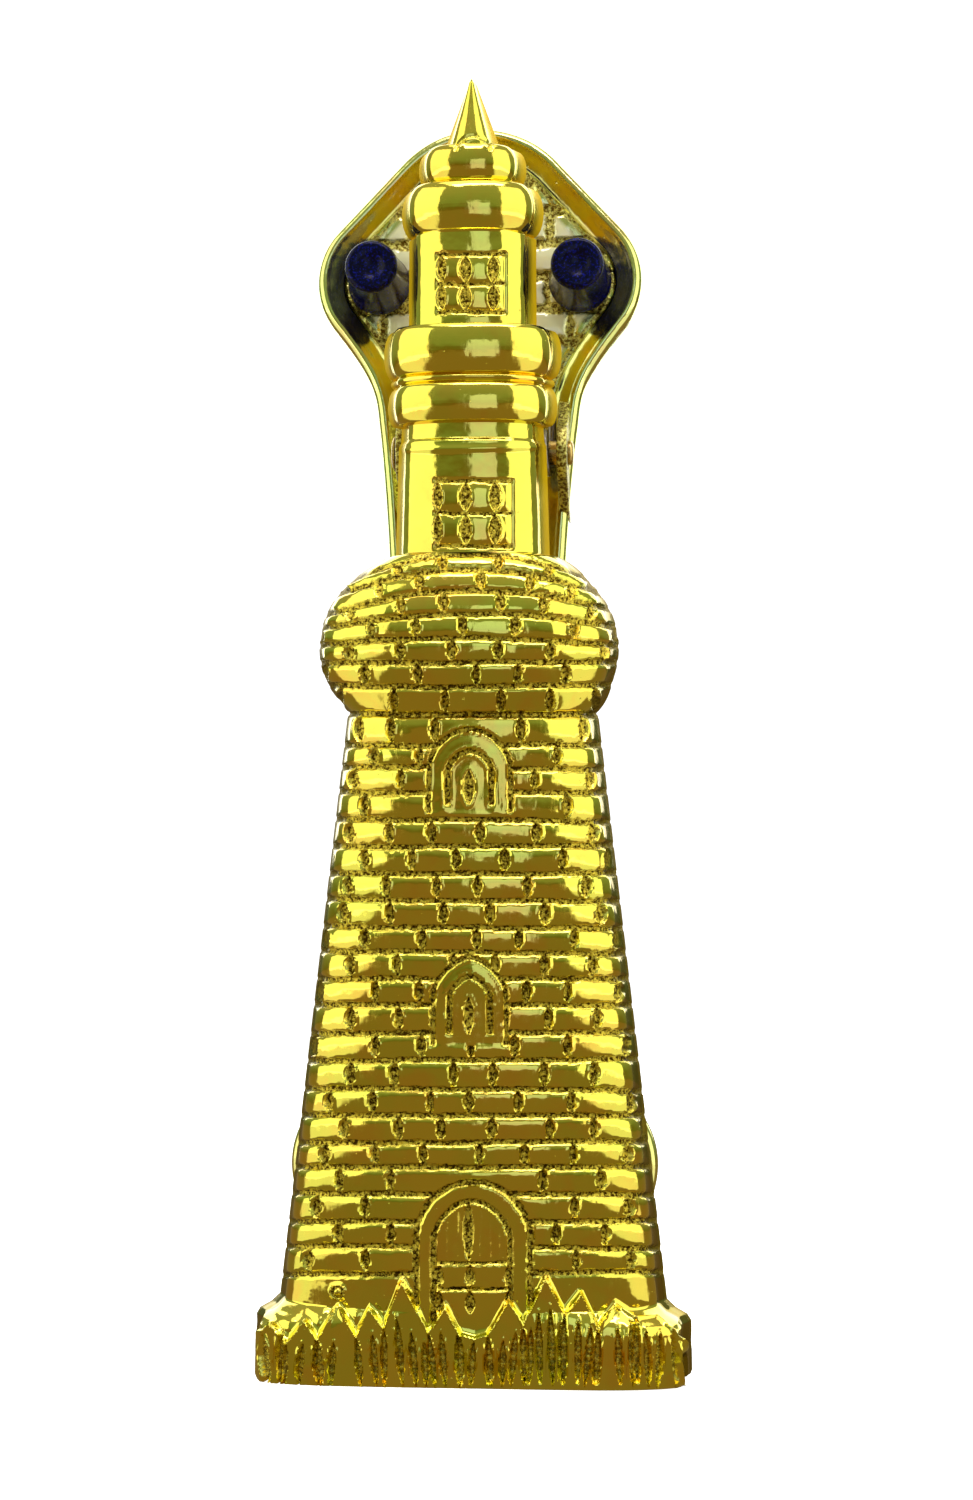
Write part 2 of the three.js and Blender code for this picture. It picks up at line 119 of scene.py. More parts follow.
def new_object(name, points, faces, attributes=None, smooth_shading=True):
    """A mesh object from points in millimetres; attributes are one number per point."""
    mesh = bpy.data.meshes.new(name)
    points = np.asarray(points, float) * MM
    mesh.vertices.add(len(points))
    mesh.vertices.foreach_set("co", points.astype(np.float32).ravel())
    sizes = np.array([len(f) for f in faces], np.int32)
    mesh.loops.add(int(sizes.sum()))
    mesh.loops.foreach_set("vertex_index", np.concatenate([np.asarray(f, np.int32) for f in faces]))
    mesh.polygons.add(len(faces))
    mesh.polygons.foreach_set("loop_start", np.concatenate([[0], np.cumsum(sizes)[:-1]]).astype(np.int32))
    mesh.update(calc_edges=True)
    mesh.validate()
    mesh.polygons.foreach_set("use_smooth", [smooth_shading] * len(mesh.polygons))
    for key, values in (attributes or {}).items():
        layer = mesh.attributes.new(key, "FLOAT", "POINT")
        layer.data.foreach_set("value", np.asarray(values, np.float32))
    obj = bpy.data.objects.new(name, mesh)
    bpy.context.scene.collection.objects.link(obj)
    return obj


def grid_faces(rows, cols):
    """Quads over rows of points; each row is a closed loop."""
    r = np.arange(rows - 1)[:, None]
    c = np.arange(cols)[None, :]
    a, b = r * cols + c, r * cols + (c + 1) % cols
    return np.stack([a, b, b + cols, a + cols], axis=-1).reshape(-1, 4)


def finish_piece(obj, body, slot, material, *nodes):
    obj.data.materials.append(material)
    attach(obj, body)
    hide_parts(*nodes)


# ---------- the lighthouse ----------
# It is rows of closed loops, carved by a pattern that is laid out as the camera sees it from in front.
SKIRT = 2.4  # side wall between the back plane and the relief
DRAFT = 1.05  # how far the side wall leans in
SIDE_STEPS = 5  # points up each side wall
VIEW_ANGLE = math.radians(4.5)  # the camera is a little to the right
VIEW_DISTANCE = 330.0
VIEW_X, VIEW_W = 1.7, 78.3  # the point looked at, on the back plane
FOOT_TOP, LANTERN_LOW = 14.2, 102.0  # where the three meshes of the lighthouse meet
BULGE_SHIFT = -0.5  # the bulge sits a little to the left of the axis
CLOSEST_ROWS = 0.045
LIGHTHOUSE_SHARP, PLATE_SHARP = math.radians(62), math.radians(35)  # edges above these angles stay sharp


def drawn(x, depth, w):
    """Where the camera sees points on the lighthouse: across from its axis, and up from its foot."""
    across = (x - VIEW_X) * math.cos(VIEW_ANGLE) - depth * math.sin(VIEW_ANGLE)
    near = (x - VIEW_X) * math.sin(VIEW_ANGLE) + depth * math.cos(VIEW_ANGLE)
    scale = VIEW_DISTANCE / (VIEW_DISTANCE - near)
    return across * scale + VIEW_X, VIEW_W + (w - VIEW_W) * scale


def lighthouse_profile():
    """Height, half-width, relief depth and squareness of the section, from the foot to the tip."""
    rows = []

    def put(w, half, depth, square=2.2):
        rows.append((w, half, depth, square))

    def pillow(low, high, half, depth, round_off):
        for s in np.sin(np.linspace(-1, 1, 23) * math.pi / 2):
            drop = round_off * (1 - math.sqrt(1 - 0.98 * s * s))
            put((low + high) / 2 + s * (high - low) / 2, half - drop, depth - 0.8 * drop)

    for row in ((FOOT_LOW, 26.6, 9.8, 4.5), (FOOT_LOW + 0.5, 26.8, 10, 4.5), (9, 26.7, 10, 4.5),
                (9.8, 26.2, 10, 4), (10.6, 24.8, 10.2, 3), (11.6, 23.75, 10.4), (82.5, 15.4, 8.8),
                (102.1, 9.45, 7), (115.4, 9.05, 6.8), (115.9, 8.8, 6.5), (117.6, 8.7, 6.5), (122.5, 9.7, 7.1),
                (123.5, 9.7, 7.1), (129.6, 7.85, 6.4), (140.6, 7.8, 6.3), (151.5, 3.5, 4.6),
                (HEIGHT - 0.5, 0.55, 2.2), (HEIGHT, 0.25, 1.6)):
        put(*row)
    for w in np.linspace(82.8, 101.8, 40):
        reach = (w - 90.8) / (13.5 if w > 90.8 else 14.2)
        bulge = math.sqrt(1 - reach * reach)
        put(w, 18.4 * bulge, 2 + 8.8 * bulge)
    for ring in ((117.8, 122.4, 10.4, 8, 0.9), (123.6, 129.4, 10.9, 8.4, 1.1), (140.8, 146.7, 8.7, 7.4, 1.4),
                 (146.9, 151.3, 6.6, 6.2, 1.1)):
        pillow(*ring)
    for s in np.linspace(-1, 1, 9):  # the thin bead between the collar's rings
        swell = math.sqrt(1 - 0.9 * s * s)
        put(123.0 + s * 0.42, 9.7 + 0.35 * swell, 7.1 + 0.5 * swell)
    return np.array(sorted(rows))


PROFILE = lighthouse_profile()


# heights of the joints between the brick courses
TOWER_JOINTS = (14.3, 17.5, 20.7, 24.0, 27.3, 30.3, 33.6, 36.8, 40.4, 43.7, 47.1, 50.3, 53.6, 56.6, 59.9,
                63.2, 66.5, 69.7, 73.1, 76.1, 78.9, 82.6)
BULGE_JOINTS = (86.0, 89.0, 92.0, 95.0, 97.8, 100.4, 102.2)
BULGE_SAG = (-0.3, 0.0, 0.8, 1.6, 2.6, 3.6, 4.4)  # how far each of those is lower at SAG_AT from the axis
SAG_AT = 17.0
NICK_PITCH = 6.1


def arch(x, w, middle, half, bottom, top, power):
    """Signed distance from an arch, inside negative; power 2 is round and a lower one is pointed."""
    spring = top - half
    up = np.maximum(w - spring, 0) / half
    inside = (np.abs((x - middle) / half) ** power + up ** power) ** (1 / power) - 1
    return np.maximum(inside * half, bottom - w)


class Carving:
    """Height and roughness of the carved pattern at every point of a sheet."""

    def __init__(self, x, w):
        self.x, self.w = x, w
        self.height = np.zeros_like(x)
        self.rough = np.zeros_like(x)

    def cut(self, distance, width, depth, rough=1.0, where=None):
        """A flat-bottomed groove with its middle line at distance 0."""
        inside = 1 - smooth(0.3 * width, 0.62 * width, np.abs(distance))
        if where is not None:
            inside = inside * where
        self.height = np.minimum(self.height, self.height * (1 - inside) - depth * inside)
        self.rough = np.maximum(self.rough, inside * rough)

    def burr(self, distance, offset, width, height, where=1.0):
        self.height = self.height + height * np.exp(-(((distance - offset) / width) ** 2)) * where

    def leaf(self, middle, low, high, half, depth, burr=0.09):
        """A granular leaf-shaped nick with a raised edge, pointed at both ends."""
        v = (self.w - (low + high) / 2) / ((high - low) / 2)
        near = (np.abs(v) < 1.25) & (np.abs(self.x - middle) < half * 2.6)
        if not near.any():
            return
        v, u = v[near], np.abs(self.x[near] - middle)
        edge = u - half * (1 - np.abs(np.clip(v, -1.2, 1.2)) ** 2.2)
        inside = 1 - smooth(-0.28 * half, 0.12 * half, edge)
        here = self.height[near]
        here = here * (1 - inside) - depth * inside
        here = here + burr * np.exp(-(((edge - 0.22 * half) / (0.22 * half)) ** 2)) * (np.abs(v) < 1.08)
        self.height[near] = here
        self.rough[near] = np.maximum(self.rough[near], inside)

    def clear(self, where, height=0.0):
        """Smooths the pattern out inside an area, to a height of its own."""
        self.height = self.height * (1 - where) + height * where
        self.rough = self.rough * (1 - where)


NICKS = {  # where the nicks are in the courses beside an opening; in the others they are spaced evenly
    0: (-20, -13, 12.7, 19.2), 1: (-16.3, -10, 10.2, 16.1),
    2: (-19, -13.1, 12.4, 19), 3: (-16.2, -10, 8.6, 15.6),
    14: (-15.1, -10.5, -4.4, 0.6, 6.7, 13.8), 15: (-13.1, -7.4, -2, 3.9, 11, 16.3),
    16: (-14.9, -10.1, -5, 0.9, 7.8, 14.6), 17: (-13.1, 11.5), 18: (-14.4, -8.7, 7.6, 14.2),
    19: (-11.9, -6.5, 10.3), 20: (-13.7, -9.9, -4.6, 5.9, 13.4),
}


def carve_courses(carving):
    """Joints between the brick courses, the pillowed faces and the nicks that part the bricks."""
    x, w = carving.x, carving.w
    levels = TOWER_JOINTS + BULGE_JOINTS
    sag = (0.0,) * len(TOWER_JOINTS) + BULGE_SAG
    lines = []
    for k, level in enumerate(levels):
        line = level + 0.1 * value_noise(x, x * 0, 4.0, 11 + k)
        line = line + (hashed(k, 3) - 0.5) * 0.018 * x
        lines.append(line - sag[k] * (x / SAG_AT) ** 2)
    for k in range(len(levels) - 1):
        low, high = lines[k], lines[k + 1]
        v = (w - low) / (high - low)
        face = (v > 0) & (v <= 1)
        swell = 0.26 * (1 - np.abs(2 * v - 1) ** 3.0) + 0.06 * (v - 0.5)
        wave = value_noise(x, w * 0 + k, 3.4, 31) * 0.045
        carving.height = np.where(face, carving.height + swell + wave, carving.height)
    for line in lines:
        ragged = value_noise(x, w, 0.55, 5) * 0.1
        carving.cut(w - line + ragged, 0.74, 0.3)
    for k in range(len(levels) - 1):
        middle_gap = levels[k + 1] - levels[k]
        places = NICKS.get(k)
        if places is None:
            shift = NICK_PITCH * (0.5 * (k % 2) + 0.16 * (hashed(k, 0, 5) - 0.5))
            places = [shift + NICK_PITCH * n + 1.5 * (hashed(k, n, 9) - 0.5) for n in range(-5, 6)]
        for n, place in enumerate(places):
            low = levels[k] - sag[k] * (place / SAG_AT) ** 2 + 0.06 * middle_gap
            high = levels[k + 1] - sag[k + 1] * (place / SAG_AT) ** 2 - 0.02 * middle_gap
            half = 0.47 + 0.14 * float(hashed(k, n, 21))
            carving.leaf(place, low, high, half, 0.38, 0.14)


def carve_opening(carving, middle, half, bottom, top, inner_half, inner_bottom, inner_top, power):
    """An arched window: a groove round it, a smooth band, an inner groove and a bud in the middle."""
    x, w = carving.x, carving.w
    outer = arch(x, w, middle, half, bottom - 3, top, power)
    above = smooth(bottom - 0.25, bottom + 0.1, w)
    carving.clear((1 - smooth(-0.05, 0.45, outer)) * above, 0.12)
    inner = arch(x, w, middle, inner_half, inner_bottom - 3, inner_top, power)
    floor = smooth(inner_bottom - 0.2, inner_bottom + 0.1, w)
    carving.burr(outer, -0.75 * (half - inner_half), 0.9, 0.1, above)
    carving.cut(outer + value_noise(x, w, 0.6, 8) * 0.08, 0.62, 0.3, 1.0, above)
    carving.burr(outer, -0.42, 0.16, 0.08, above)
    carving.burr(outer, 0.42, 0.16, 0.06, above)
    carving.cut(inner + value_noise(x, w, 0.6, 9) * 0.06, 0.7, 0.32, 1.0, floor)
    carving.burr(inner, -0.45, 0.16, 0.1, floor)
    carving.burr(inner, 0.45, 0.16, 0.08, floor)
    bud_top = inner_bottom + 0.66 * (inner_top - inner_bottom)
    carving.leaf(middle - 0.1, inner_bottom - 0.1, bud_top, 0.26 * inner_half, 0.22, 0.12)


def carve_panes(carving, columns, rows, left, right):
    """A square window: two rows of nicks between rough lines, with pillowed panes between them."""
    x, w = carving.x, carving.w
    low, middle, high = rows
    inside = smooth(left - 0.5, left, x) * (1 - smooth(right, right + 0.5, x))
    inside = inside * smooth(low - 0.5, low, w) * (1 - smooth(high, high + 0.5, w))
    edges = [left] + [c for c in columns if left + 1 < c < right - 1] + [right]
    for a, b in zip(edges[:-1], edges[1:]):
        for c, d in ((low, middle), (middle, high)):
            u, v = 2 * (x - a) / (b - a) - 1, 2 * (w - c) / (d - c) - 1
            pane = np.clip(1 - u ** 4, 0, 1) * np.clip(1 - v ** 4, 0, 1) * (np.abs(u) < 1) * (np.abs(v) < 1)
            carving.height = carving.height + 0.24 * pane * inside
    carving.height = carving.height - 0.12 * inside
    across = smooth(left - 0.4, left, x) * (1 - smooth(right, right + 0.4, x))
    for line in rows:
        ragged = value_noise(x, w, 0.5, 15) * 0.13 + 0.12 * value_noise(x, x * 0, 2.0, int(line))
        carving.cut(w - line + ragged, 0.5, 0.3, 1.0, across)
    for n, column in enumerate(columns):
        for c, d in ((low, middle), (middle, high)):
            carving.leaf(column, c + 0.15, d - 0.1, 0.68 - 0.12 * (n == 0), 0.34, 0.12)


BLADES = ((-25.4, 7.4), (-24.6, 8.3), (-22.6, 5.9), (-20.5, 8.4), (-18.9, 6.4), (-16.4, 10.2), (-14.2, 6.7),
          (-12.6, 9.9), (-10.8, 7.8), (-8.65, 13.4), (-5.4, 7.2), (-3.3, 10.2), (-1.5, 6.9), (0.3, 6.4),
          (1.9, 6.9), (4.4, 11.0), (6.2, 8.2), (8.9, 13.9), (11.2, 9.3), (13.2, 11.9), (15.3, 7.5),
          (17.5, 10.3), (20.0, 8.6), (22.5, 8.9), (25.3, 6.4), (26.2, 5))
GRASS = ((-25.3, 5.6), (-23.4, 6.6), (-20.9, 4.9), (-19, 5.2), (-17.1, 5), (-12, 6), (-8.8, 8), (-7.2, 6.2),
         (-5.8, 5), (-3.6, 6.2), (-1.7, 6), (0, 5), (1.95, 5.4), (3.7, 5.2), (5, 6.2), (7, 6.8), (8.2, 8.6),
         (9.7, 9.2), (10.9, 7.4), (12.9, 7.6), (14.1, 7), (15.2, 6.2), (17.9, 6.6), (19.5, 7.4),
         (21.3, 6.2), (22.7, 6), (24.5, 6.2))


def carve_grass(carving):
    """Blades with raised edges in front of the foot, parted by granular leaf grooves."""
    x, w = carving.x, carving.w
    edge = np.full_like(x, 99.0)
    for (ax, aw), (bx, bw) in zip(BLADES[:-1], BLADES[1:]):
        along = ((x - ax) * (bx - ax) + (w - aw) * (bw - aw)) / ((bx - ax) ** 2 + (bw - aw) ** 2)
        along = np.clip(along, 0, 1)
        edge = np.minimum(edge, np.hypot(x - ax - along * (bx - ax), w - aw - along * (bw - aw)))
    top = np.interp(x, [b[0] for b in BLADES], [b[1] for b in BLADES])
    below = smooth(-0.18, 0.18, top - w)
    carving.clear(below, 0.38)
    carving.height = carving.height - 0.2 * np.exp(-(((top - w + 1.1) / 0.8) ** 2)) * (w > top)
    for n, (middle, high) in enumerate(GRASS):
        lean = 0.22 * float(hashed(n, 2)) - 0.12
        carving.x = x + lean * (w - 4)
        carving.leaf(middle, 0.4, high + 1.1, 0.42, 0.32, 0.1)
        length = smooth(0.6, 1.6, w) * (1 - smooth(high - 0.6, high + 0.8, w))
        carving.burr(np.abs(carving.x - middle), 0.56, 0.15, 0.2, length)
    for n, (at, high) in enumerate(BLADES):
        lean = 0.3 * float(hashed(n, 5)) - 0.15
        carving.x = x + lean * (w - high)
        if n % 2 == 0:
            carving.leaf(at, 0.6, high - 0.2, 0.4, 0.35, 0.25)
    carving.x = x
    carving.rough = carving.rough * (1 - 0.42 * below)
    ridge = np.exp(-((edge / 0.24) ** 2))
    carving.height = carving.height + 0.36 * ridge
    carving.rough = carving.rough * (1 - ridge)
    carving.height = carving.height * smooth(-0.2, 0.9, w)


def carve_door(carving):
    x, w = carving.x, carving.w
    outer = arch(x, w, 0.06, 7.0, 4.0, 25.5, 2.0)
    carving.clear(1 - smooth(0.0, 0.5, outer), 0.1)
    carving.burr(outer, -1.15, 0.75, 0.2)
    carving.cut(outer + value_noise(x, w, 0.6, 8) * 0.1, 0.75, 0.28)
    carving.burr(outer, -0.5, 0.2, 0.1)
    inner = arch(x, w, -0.1, 4.7, 4.0, 23.2, 1.75)
    carving.cut(inner + value_noise(x, w, 0.6, 9) * 0.08, 0.7, 0.3)
    carving.burr(inner, -0.45, 0.2, 0.14)
    within = 1 - smooth(-0.7, -0.4, inner)
    for board in (-3.2, -1.9, 1.0, 2.3, 3.4):
        carving.cut(x - board - 0.12 * value_noise(w, w * 0, 3.0, 4), 0.3, 0.06, 0.2, within * (w > 15))
    for line in (15.6, 12.4):
        ragged = value_noise(x, w, 0.5, 17) * 0.12
        carving.cut(w - line + ragged, 0.42, 0.24, 1.0, within)
        carving.burr(w - line, -0.5, 0.2, 0.13, within)
    carving.leaf(-0.5, 15.8, 23.4, 0.62, 0.3, 0.1)
    for low, high in ((12.6, 15.4), (9.3, 12.2)):
        carving.leaf(-0.3, low, high, 0.6, 0.3)
        carving.leaf(-4.1, low, high, 0.5, 0.3)
        carving.leaf(4.4, low, high, 0.5, 0.3)


def carve_lower(x, w):
    carving = Carving(x, w)
    carve_courses(carving)
    carving.clear(1 - smooth(9.5, 13.6, w))
    carve_opening(carving, -0.37, 5.0, 70.7, 80.9, 2.7, 71.6, 78.2, 1.85)
    carve_opening(carving, -0.37, 4.5, 42.2, 53.0, 2.5, 43.6, 50.6, 1.55)
    carve_door(carving)
    rosette = np.hypot(x + 16.5, w - 12.0)
    carving.clear(1 - smooth(0.8, 1.2, rosette), 0.25)
    carving.cut(rosette - 0.62, 0.4, 0.1)
    carving.burr(rosette, 0, 0.35, 0.2)
    carve_grass(carving)
    return carving


def carve_upper(x, w):
    carving = Carving(x, w)
    carve_panes(carving, (-4.3, -0.85, 2.75), (103.2, 107.3, 111.2), -4.4, 4.7)
    carve_panes(carving, (-3.8, -0.85, 2.55), (131.9, 135.3, 138.9), -4.2, 3.9)
    # the collar's lower line, and the little arch at the foot of the spire
    carving.burr(w - 115.2 - 0.02 * x, 0, 0.35, 0.16)
    arch_line = arch(x, w, 0.1, 2.2, 149.0, 153.4, 2.0)
    carving.cut(arch_line, 0.45, 0.22, 0.3, smooth(151.5, 151.9, w))
    carving.burr(arch_line, -0.4, 0.25, 0.12, smooth(151.5, 151.9, w))
    return carving


def section_rows(low, high, step, columns, back_columns):
    """Closed loops of points (x, depth and w), one for each height, and how many of each loop face out."""
    heights = np.unique(np.concatenate([np.arange(low, high, step), [high], PROFILE[:, 0]]))
    heights = heights[(heights >= low) & (heights <= high)]
    keep = np.concatenate([[True], np.diff(heights) > CLOSEST_ROWS])
    heights = heights[keep]
    half, depth, square = (np.interp(heights, PROFILE[:, 0], PROFILE[:, k]) for k in (1, 2, 3))
    angle = np.linspace(0, math.pi, 1201)
    off = BULGE_SHIFT * smooth(83.5, 87.5, heights) * (1 - smooth(98.0, 101.5, heights))
    points = []
    for w, a, d, n, middle in zip(heights, half, depth, square, off):
        skirt = min(SKIRT, d / 2)
        inset_by = min(DRAFT, 0.3 * a)
        across = -np.sign(np.cos(angle)) * np.abs(np.cos(angle)) ** (2 / n) * (a - inset_by)
        out = skirt + (d - skirt) * np.abs(np.sin(angle)) ** (2 / n)
        run = np.concatenate([[0], np.cumsum(np.hypot(np.diff(across), np.diff(out)))])
        even = np.linspace(0, run[-1], columns)
        front = np.column_stack([np.interp(even, run, across), np.interp(even, run, out)])
        up = np.linspace(0, 1, SIDE_STEPS, endpoint=False)[:, None]
        left = (1 - up) * [[-a, 0.0]] + up * [[-(a - inset_by), skirt]]
        right = left[::-1] * [[-1, 1]]
        # the back: a flat rim, and the hollow inside it
        wall = min(WALL, 0.45 * a)
        hollow = smooth(FOOT_LOW + WALL - 0.1, FOOT_LOW + WALL + 0.5, w) * (1 - smooth(99.6, 100.2, w))
        reach = max(d - WALL, 0.2) * hollow
        turn = np.linspace(0, math.pi, back_columns)
        inner_x = np.sign(np.cos(turn)) * np.abs(np.cos(turn)) ** (2 / n) * (a - wall)
        inner_d = np.abs(np.sin(turn)) ** (2 / n) * reach
        loop = np.vstack([left, front, right, np.column_stack([inner_x, inner_d])]) + [middle, 0.0]
        points.append(np.column_stack([loop, np.full(len(loop), w)]))
    return np.array(points), SIDE_STEPS * 2 + columns


def to_row_frame(x, depth, w):
    """From the lighthouse's own coordinates to the row frame, at rest."""
    y, z = -depth - BACK_OFFSET, w - PIN_W
    cos, sin = math.cos(LEAN), math.sin(LEAN)
    return np.column_stack([x, y * cos - z * sin - PIN_FRONT, y * sin + z * cos + PIN_Z])


def swept(rings, wrap_rings=False, flip=False):
    """Points and quads through a list of equal closed rings."""
    rings = np.array(rings)
    count, size = rings.shape[:2]
    faces = grid_faces(count, size)
    if wrap_rings:
        c = np.arange(size)
        last = (count - 1) * size
        faces = np.vstack([faces, np.stack([last + c, last + (c + 1) % size, (c + 1) % size, c], axis=-1)])
    if flip:
        faces = faces[:, ::-1]
    return rings.reshape(-1, 3), [list(f) for f in faces]


def lighthouse_piece(name, low, high, step, columns, back_columns, carve, material):
    loops, shown = section_rows(low, high, step, columns, back_columns)
    rows, size = loops.shape[:2]
    flat = loops.reshape(-1, 3)
    at = to_row_frame(flat[:, 0], flat[:, 1], flat[:, 2]).reshape(rows, size, 3)
    front = at[:, :shown]
    normal = np.cross(np.gradient(front, axis=1), np.gradient(front, axis=0))
    normal /= np.maximum(np.linalg.norm(normal, axis=2, keepdims=True), 1e-9)
    x, w = drawn(loops[:, :shown, 0], loops[:, :shown, 1], loops[:, :shown, 2])
    carving = carve(x.ravel(), w.ravel())
    height = carving.height.reshape(x.shape)
    rough = carving.rough.reshape(x.shape)
    grain = value_noise(x, w, 0.33, 41) * 0.6 + value_noise(x, w, 0.19, 43) * 0.4
    height = height + rough * grain * 0.11
    height = height + 0.025 * value_noise(x, w, 4.5, 51) + 0.012 * value_noise(x, w, 1.7, 52)
    # the side walls keep only part of the pattern, and the flat back edge keeps its line
    place = np.arange(shown)
    side_share = np.minimum(place, shown - 1 - place) / SIDE_STEPS
    keep = np.clip(side_share, 0.35, 1.0)
    height = np.where(height > 0, height * np.clip(side_share, 0, 1), height) * keep
    front += normal * height[..., None]
    points = at.reshape(-1, 3)
    faces = [list(f) for f in grid_faces(rows, size)]
    faces.append(list(range(size))[::-1])
    faces.append([(rows - 1) * size + k for k in range(size)])
    roughness = np.ones((rows, size)) * 0.5
    roughness[:, :shown] = rough
    satin = np.ones((rows, size))
    satin[:, :shown] = np.clip(1.25 - side_share, 0, 1)
    painted_edge_shade = np.zeros((rows, size))
    if low < LANTERN_LOW:  # painted shade: the brick tower's side edges get a dark painted colour in place of the dark reflection there, and the lantern's edges stay satin
        satin[:, :shown] *= 0.12 + 0.88 * smooth(-0.2, 0.6, 0.4 - side_share)
        painted_edge_shade[:, :shown] = 0.8 * (1 - smooth(1.0, 1.9, side_share))
    points = list(points)
    roughness, satin, painted_edge_shade = (list(v.ravel()) for v in (roughness, satin, painted_edge_shade))
    if high > PIN_W:
        more, quads = lug()
        start = len(points)
        points += list(more)
        faces += [[k + start for k in f] for f in quads]
        roughness += [0.4] * len(more)
        satin += [1.0] * len(more)
        painted_edge_shade += [0.0] * len(more)
    obj = new_object(name, points, faces, {"cast": roughness, "satin": satin, "painted_edge_shade": painted_edge_shade})
    obj.data.set_sharp_from_angle(angle=LIGHTHOUSE_SHARP)
    finish_piece(obj, "tower", "cast_brass", material, "lighthouse")


def lug():
    """The cast lug behind the neck, with the hole for the hinge pin."""
    radius, left, right, edge, into_neck = 3.2, -6.8, 4.2, 0.3, 3
    path = [(PIN_HOLE, left + 0.2, 0), (PIN_HOLE + 0.2, left, 0), (edge, left, 1), (0, left + edge, 1),
            (0, right - edge, 1), (edge, right, 1), (PIN_HOLE + 0.2, right, 0), (PIN_HOLE, right - 0.2, 0)]
    turn = np.linspace(0, 2 * math.pi, 64, endpoint=False)
    # square in front, where it reaches into the neck, and round behind
    reach = np.minimum(radius / np.maximum(np.abs(np.sin(turn)), 1e-6),
                       (BACK_OFFSET + into_neck) / np.maximum(np.cos(turn), 1e-6))
    outer = np.where(np.cos(turn) > 0, reach, radius)
    rings = []
    for size, x, on_outer in path:
        r = outer - size if on_outer else np.full_like(turn, size)
        rings.append(to_row_frame(np.full_like(turn, x), r * np.cos(turn) - BACK_OFFSET,
                                  PIN_W + r * np.sin(turn)))
    return swept(rings, wrap_rings=True, flip=True)


# ---------- the back plate: a rounded rim round a field of cast bricks ----------
FLANK_HANDLE, LOBE_NECK = 8.6, (12.6, -18.0)  # of the upper lobe; the lower one is larger by FOOT_SCALE


def walk_lobe(centre_z, scale, way):
    """Half the outline of one lobe, from its tip to the neck."""
    tip_z, side_x = HEAD_TIP - TIP_RADIUS, HEAD_HALF - SIDE_RADIUS
    shoulder = math.acos((TIP_RADIUS - SIDE_RADIUS) / math.hypot(side_x, tip_z)) - math.atan2(tip_z, side_x)

    def arc(x, up, radius, a, b):
        angle = np.linspace(a, b, 60)
        return np.column_stack([x + radius * np.cos(angle), up + radius * np.sin(angle)])

    path = np.vstack([arc(0, tip_z, TIP_RADIUS, math.pi / 2, shoulder),
                      arc(side_x, 0, SIDE_RADIUS, shoulder, -FLANK_ANGLE)[1:]])
    path = path * scale
    end = path[-1]
    bend = end + FLANK_HANDLE * scale * np.array([-math.sin(FLANK_ANGLE), -math.cos(FLANK_ANGLE)])
    neck = np.array(LOBE_NECK) * scale
    path = np.vstack([path, bezier(end, bend, bend + 0.3 * (neck - bend), neck, 60)[1:]])
    return path * [1, way] + [0, centre_z]


def bezier(a, b, c, d, count):
    t = np.linspace(0, 1, count)[:, None]
    a, b, c, d = (np.asarray(p, float) for p in (a, b, c, d))
    return (1 - t) ** 3 * a + 3 * (1 - t) ** 2 * t * b + 3 * (1 - t) * t * t * c + t ** 3 * d


def even_loop(path, spacing):
    """A closed path with points an even distance apart."""
    closed = np.vstack([path, path[:1]])
    run = np.concatenate([[0], np.cumsum(np.linalg.norm(np.diff(closed, axis=0), axis=1))])
    count = int(round(run[-1] / spacing))
    at = np.linspace(0, run[-1], count, endpoint=False)
    return np.column_stack([np.interp(at, run, closed[:, k]) for k in (0, 1)])


def plate_outline():
    head = walk_lobe(HEAD_Z, 1, 1)
    foot = walk_lobe(FOOT_Z, FOOT_SCALE, -1)[::-1]
    high, low = head[-1], foot[0]
    waist = bezier(high, (WAIST_HALF, high[1] * 0.45), (WAIST_HALF, low[1] * 0.45), low, 80)
    right = np.vstack([head, waist[1:-1], foot])
    left = right[::-1][1:-1] * [-1, 1]
    return even_loop(np.vstack([right, left])[::-1], 0.5)


def inset_loop(loop, inward):
    """A loop that runs anticlockwise, moved inward."""
    along = np.roll(loop, -1, axis=0) - np.roll(loop, 1, axis=0)
    along /= np.linalg.norm(along, axis=1, keepdims=True)
    return loop + inward * np.column_stack([-along[:, 1], along[:, 0]])


def within(points, loop):
    """True for points inside a closed loop."""
    inside = np.zeros(len(points), bool)
    x, z = points[:, 0], points[:, 1]
    for (ax, az), (bx, bz) in zip(loop, np.roll(loop, -1, axis=0)):
        if az == bz:
            continue
        crosses = (az > z) != (bz > z)
        inside ^= crosses & (x < (bx - ax) * (z - az) / (bz - az) + ax)
    return inside


def circle(x, z, radius, count):
    turn = np.linspace(0, 2 * math.pi, count, endpoint=False)
    return np.column_stack([x + radius * np.cos(turn), z + radius * np.sin(turn)])


def mouth_loop():
    start = math.asin(MOUTH_FLAT / MOUTH_RADIUS)
    turn = np.linspace(-start, math.pi + start, 180)
    arc = np.column_stack([MOUTH_RADIUS * np.cos(turn), MOUTH_Z + MOUTH_RADIUS * np.sin(turn)])
    return even_loop(arc, 0.5)


def keyhole_loop():
    join = math.asin(SLOT_HALF / SLOT_HOLE)
    low = np.linspace(math.pi / 2 + join, math.pi / 2 - join + 2 * math.pi, 50)
    high = np.linspace(0, math.pi, 24)
    path = np.vstack([
        np.column_stack([SLOT_HOLE * np.cos(low), SLOT_Z + SLOT_HOLE * np.sin(low)]),
        np.column_stack([SLOT_HALF * np.cos(high), SLOT_Z + SLOT_LENGTH + SLOT_HALF * np.sin(high)])])
    return even_loop(path, 0.4)


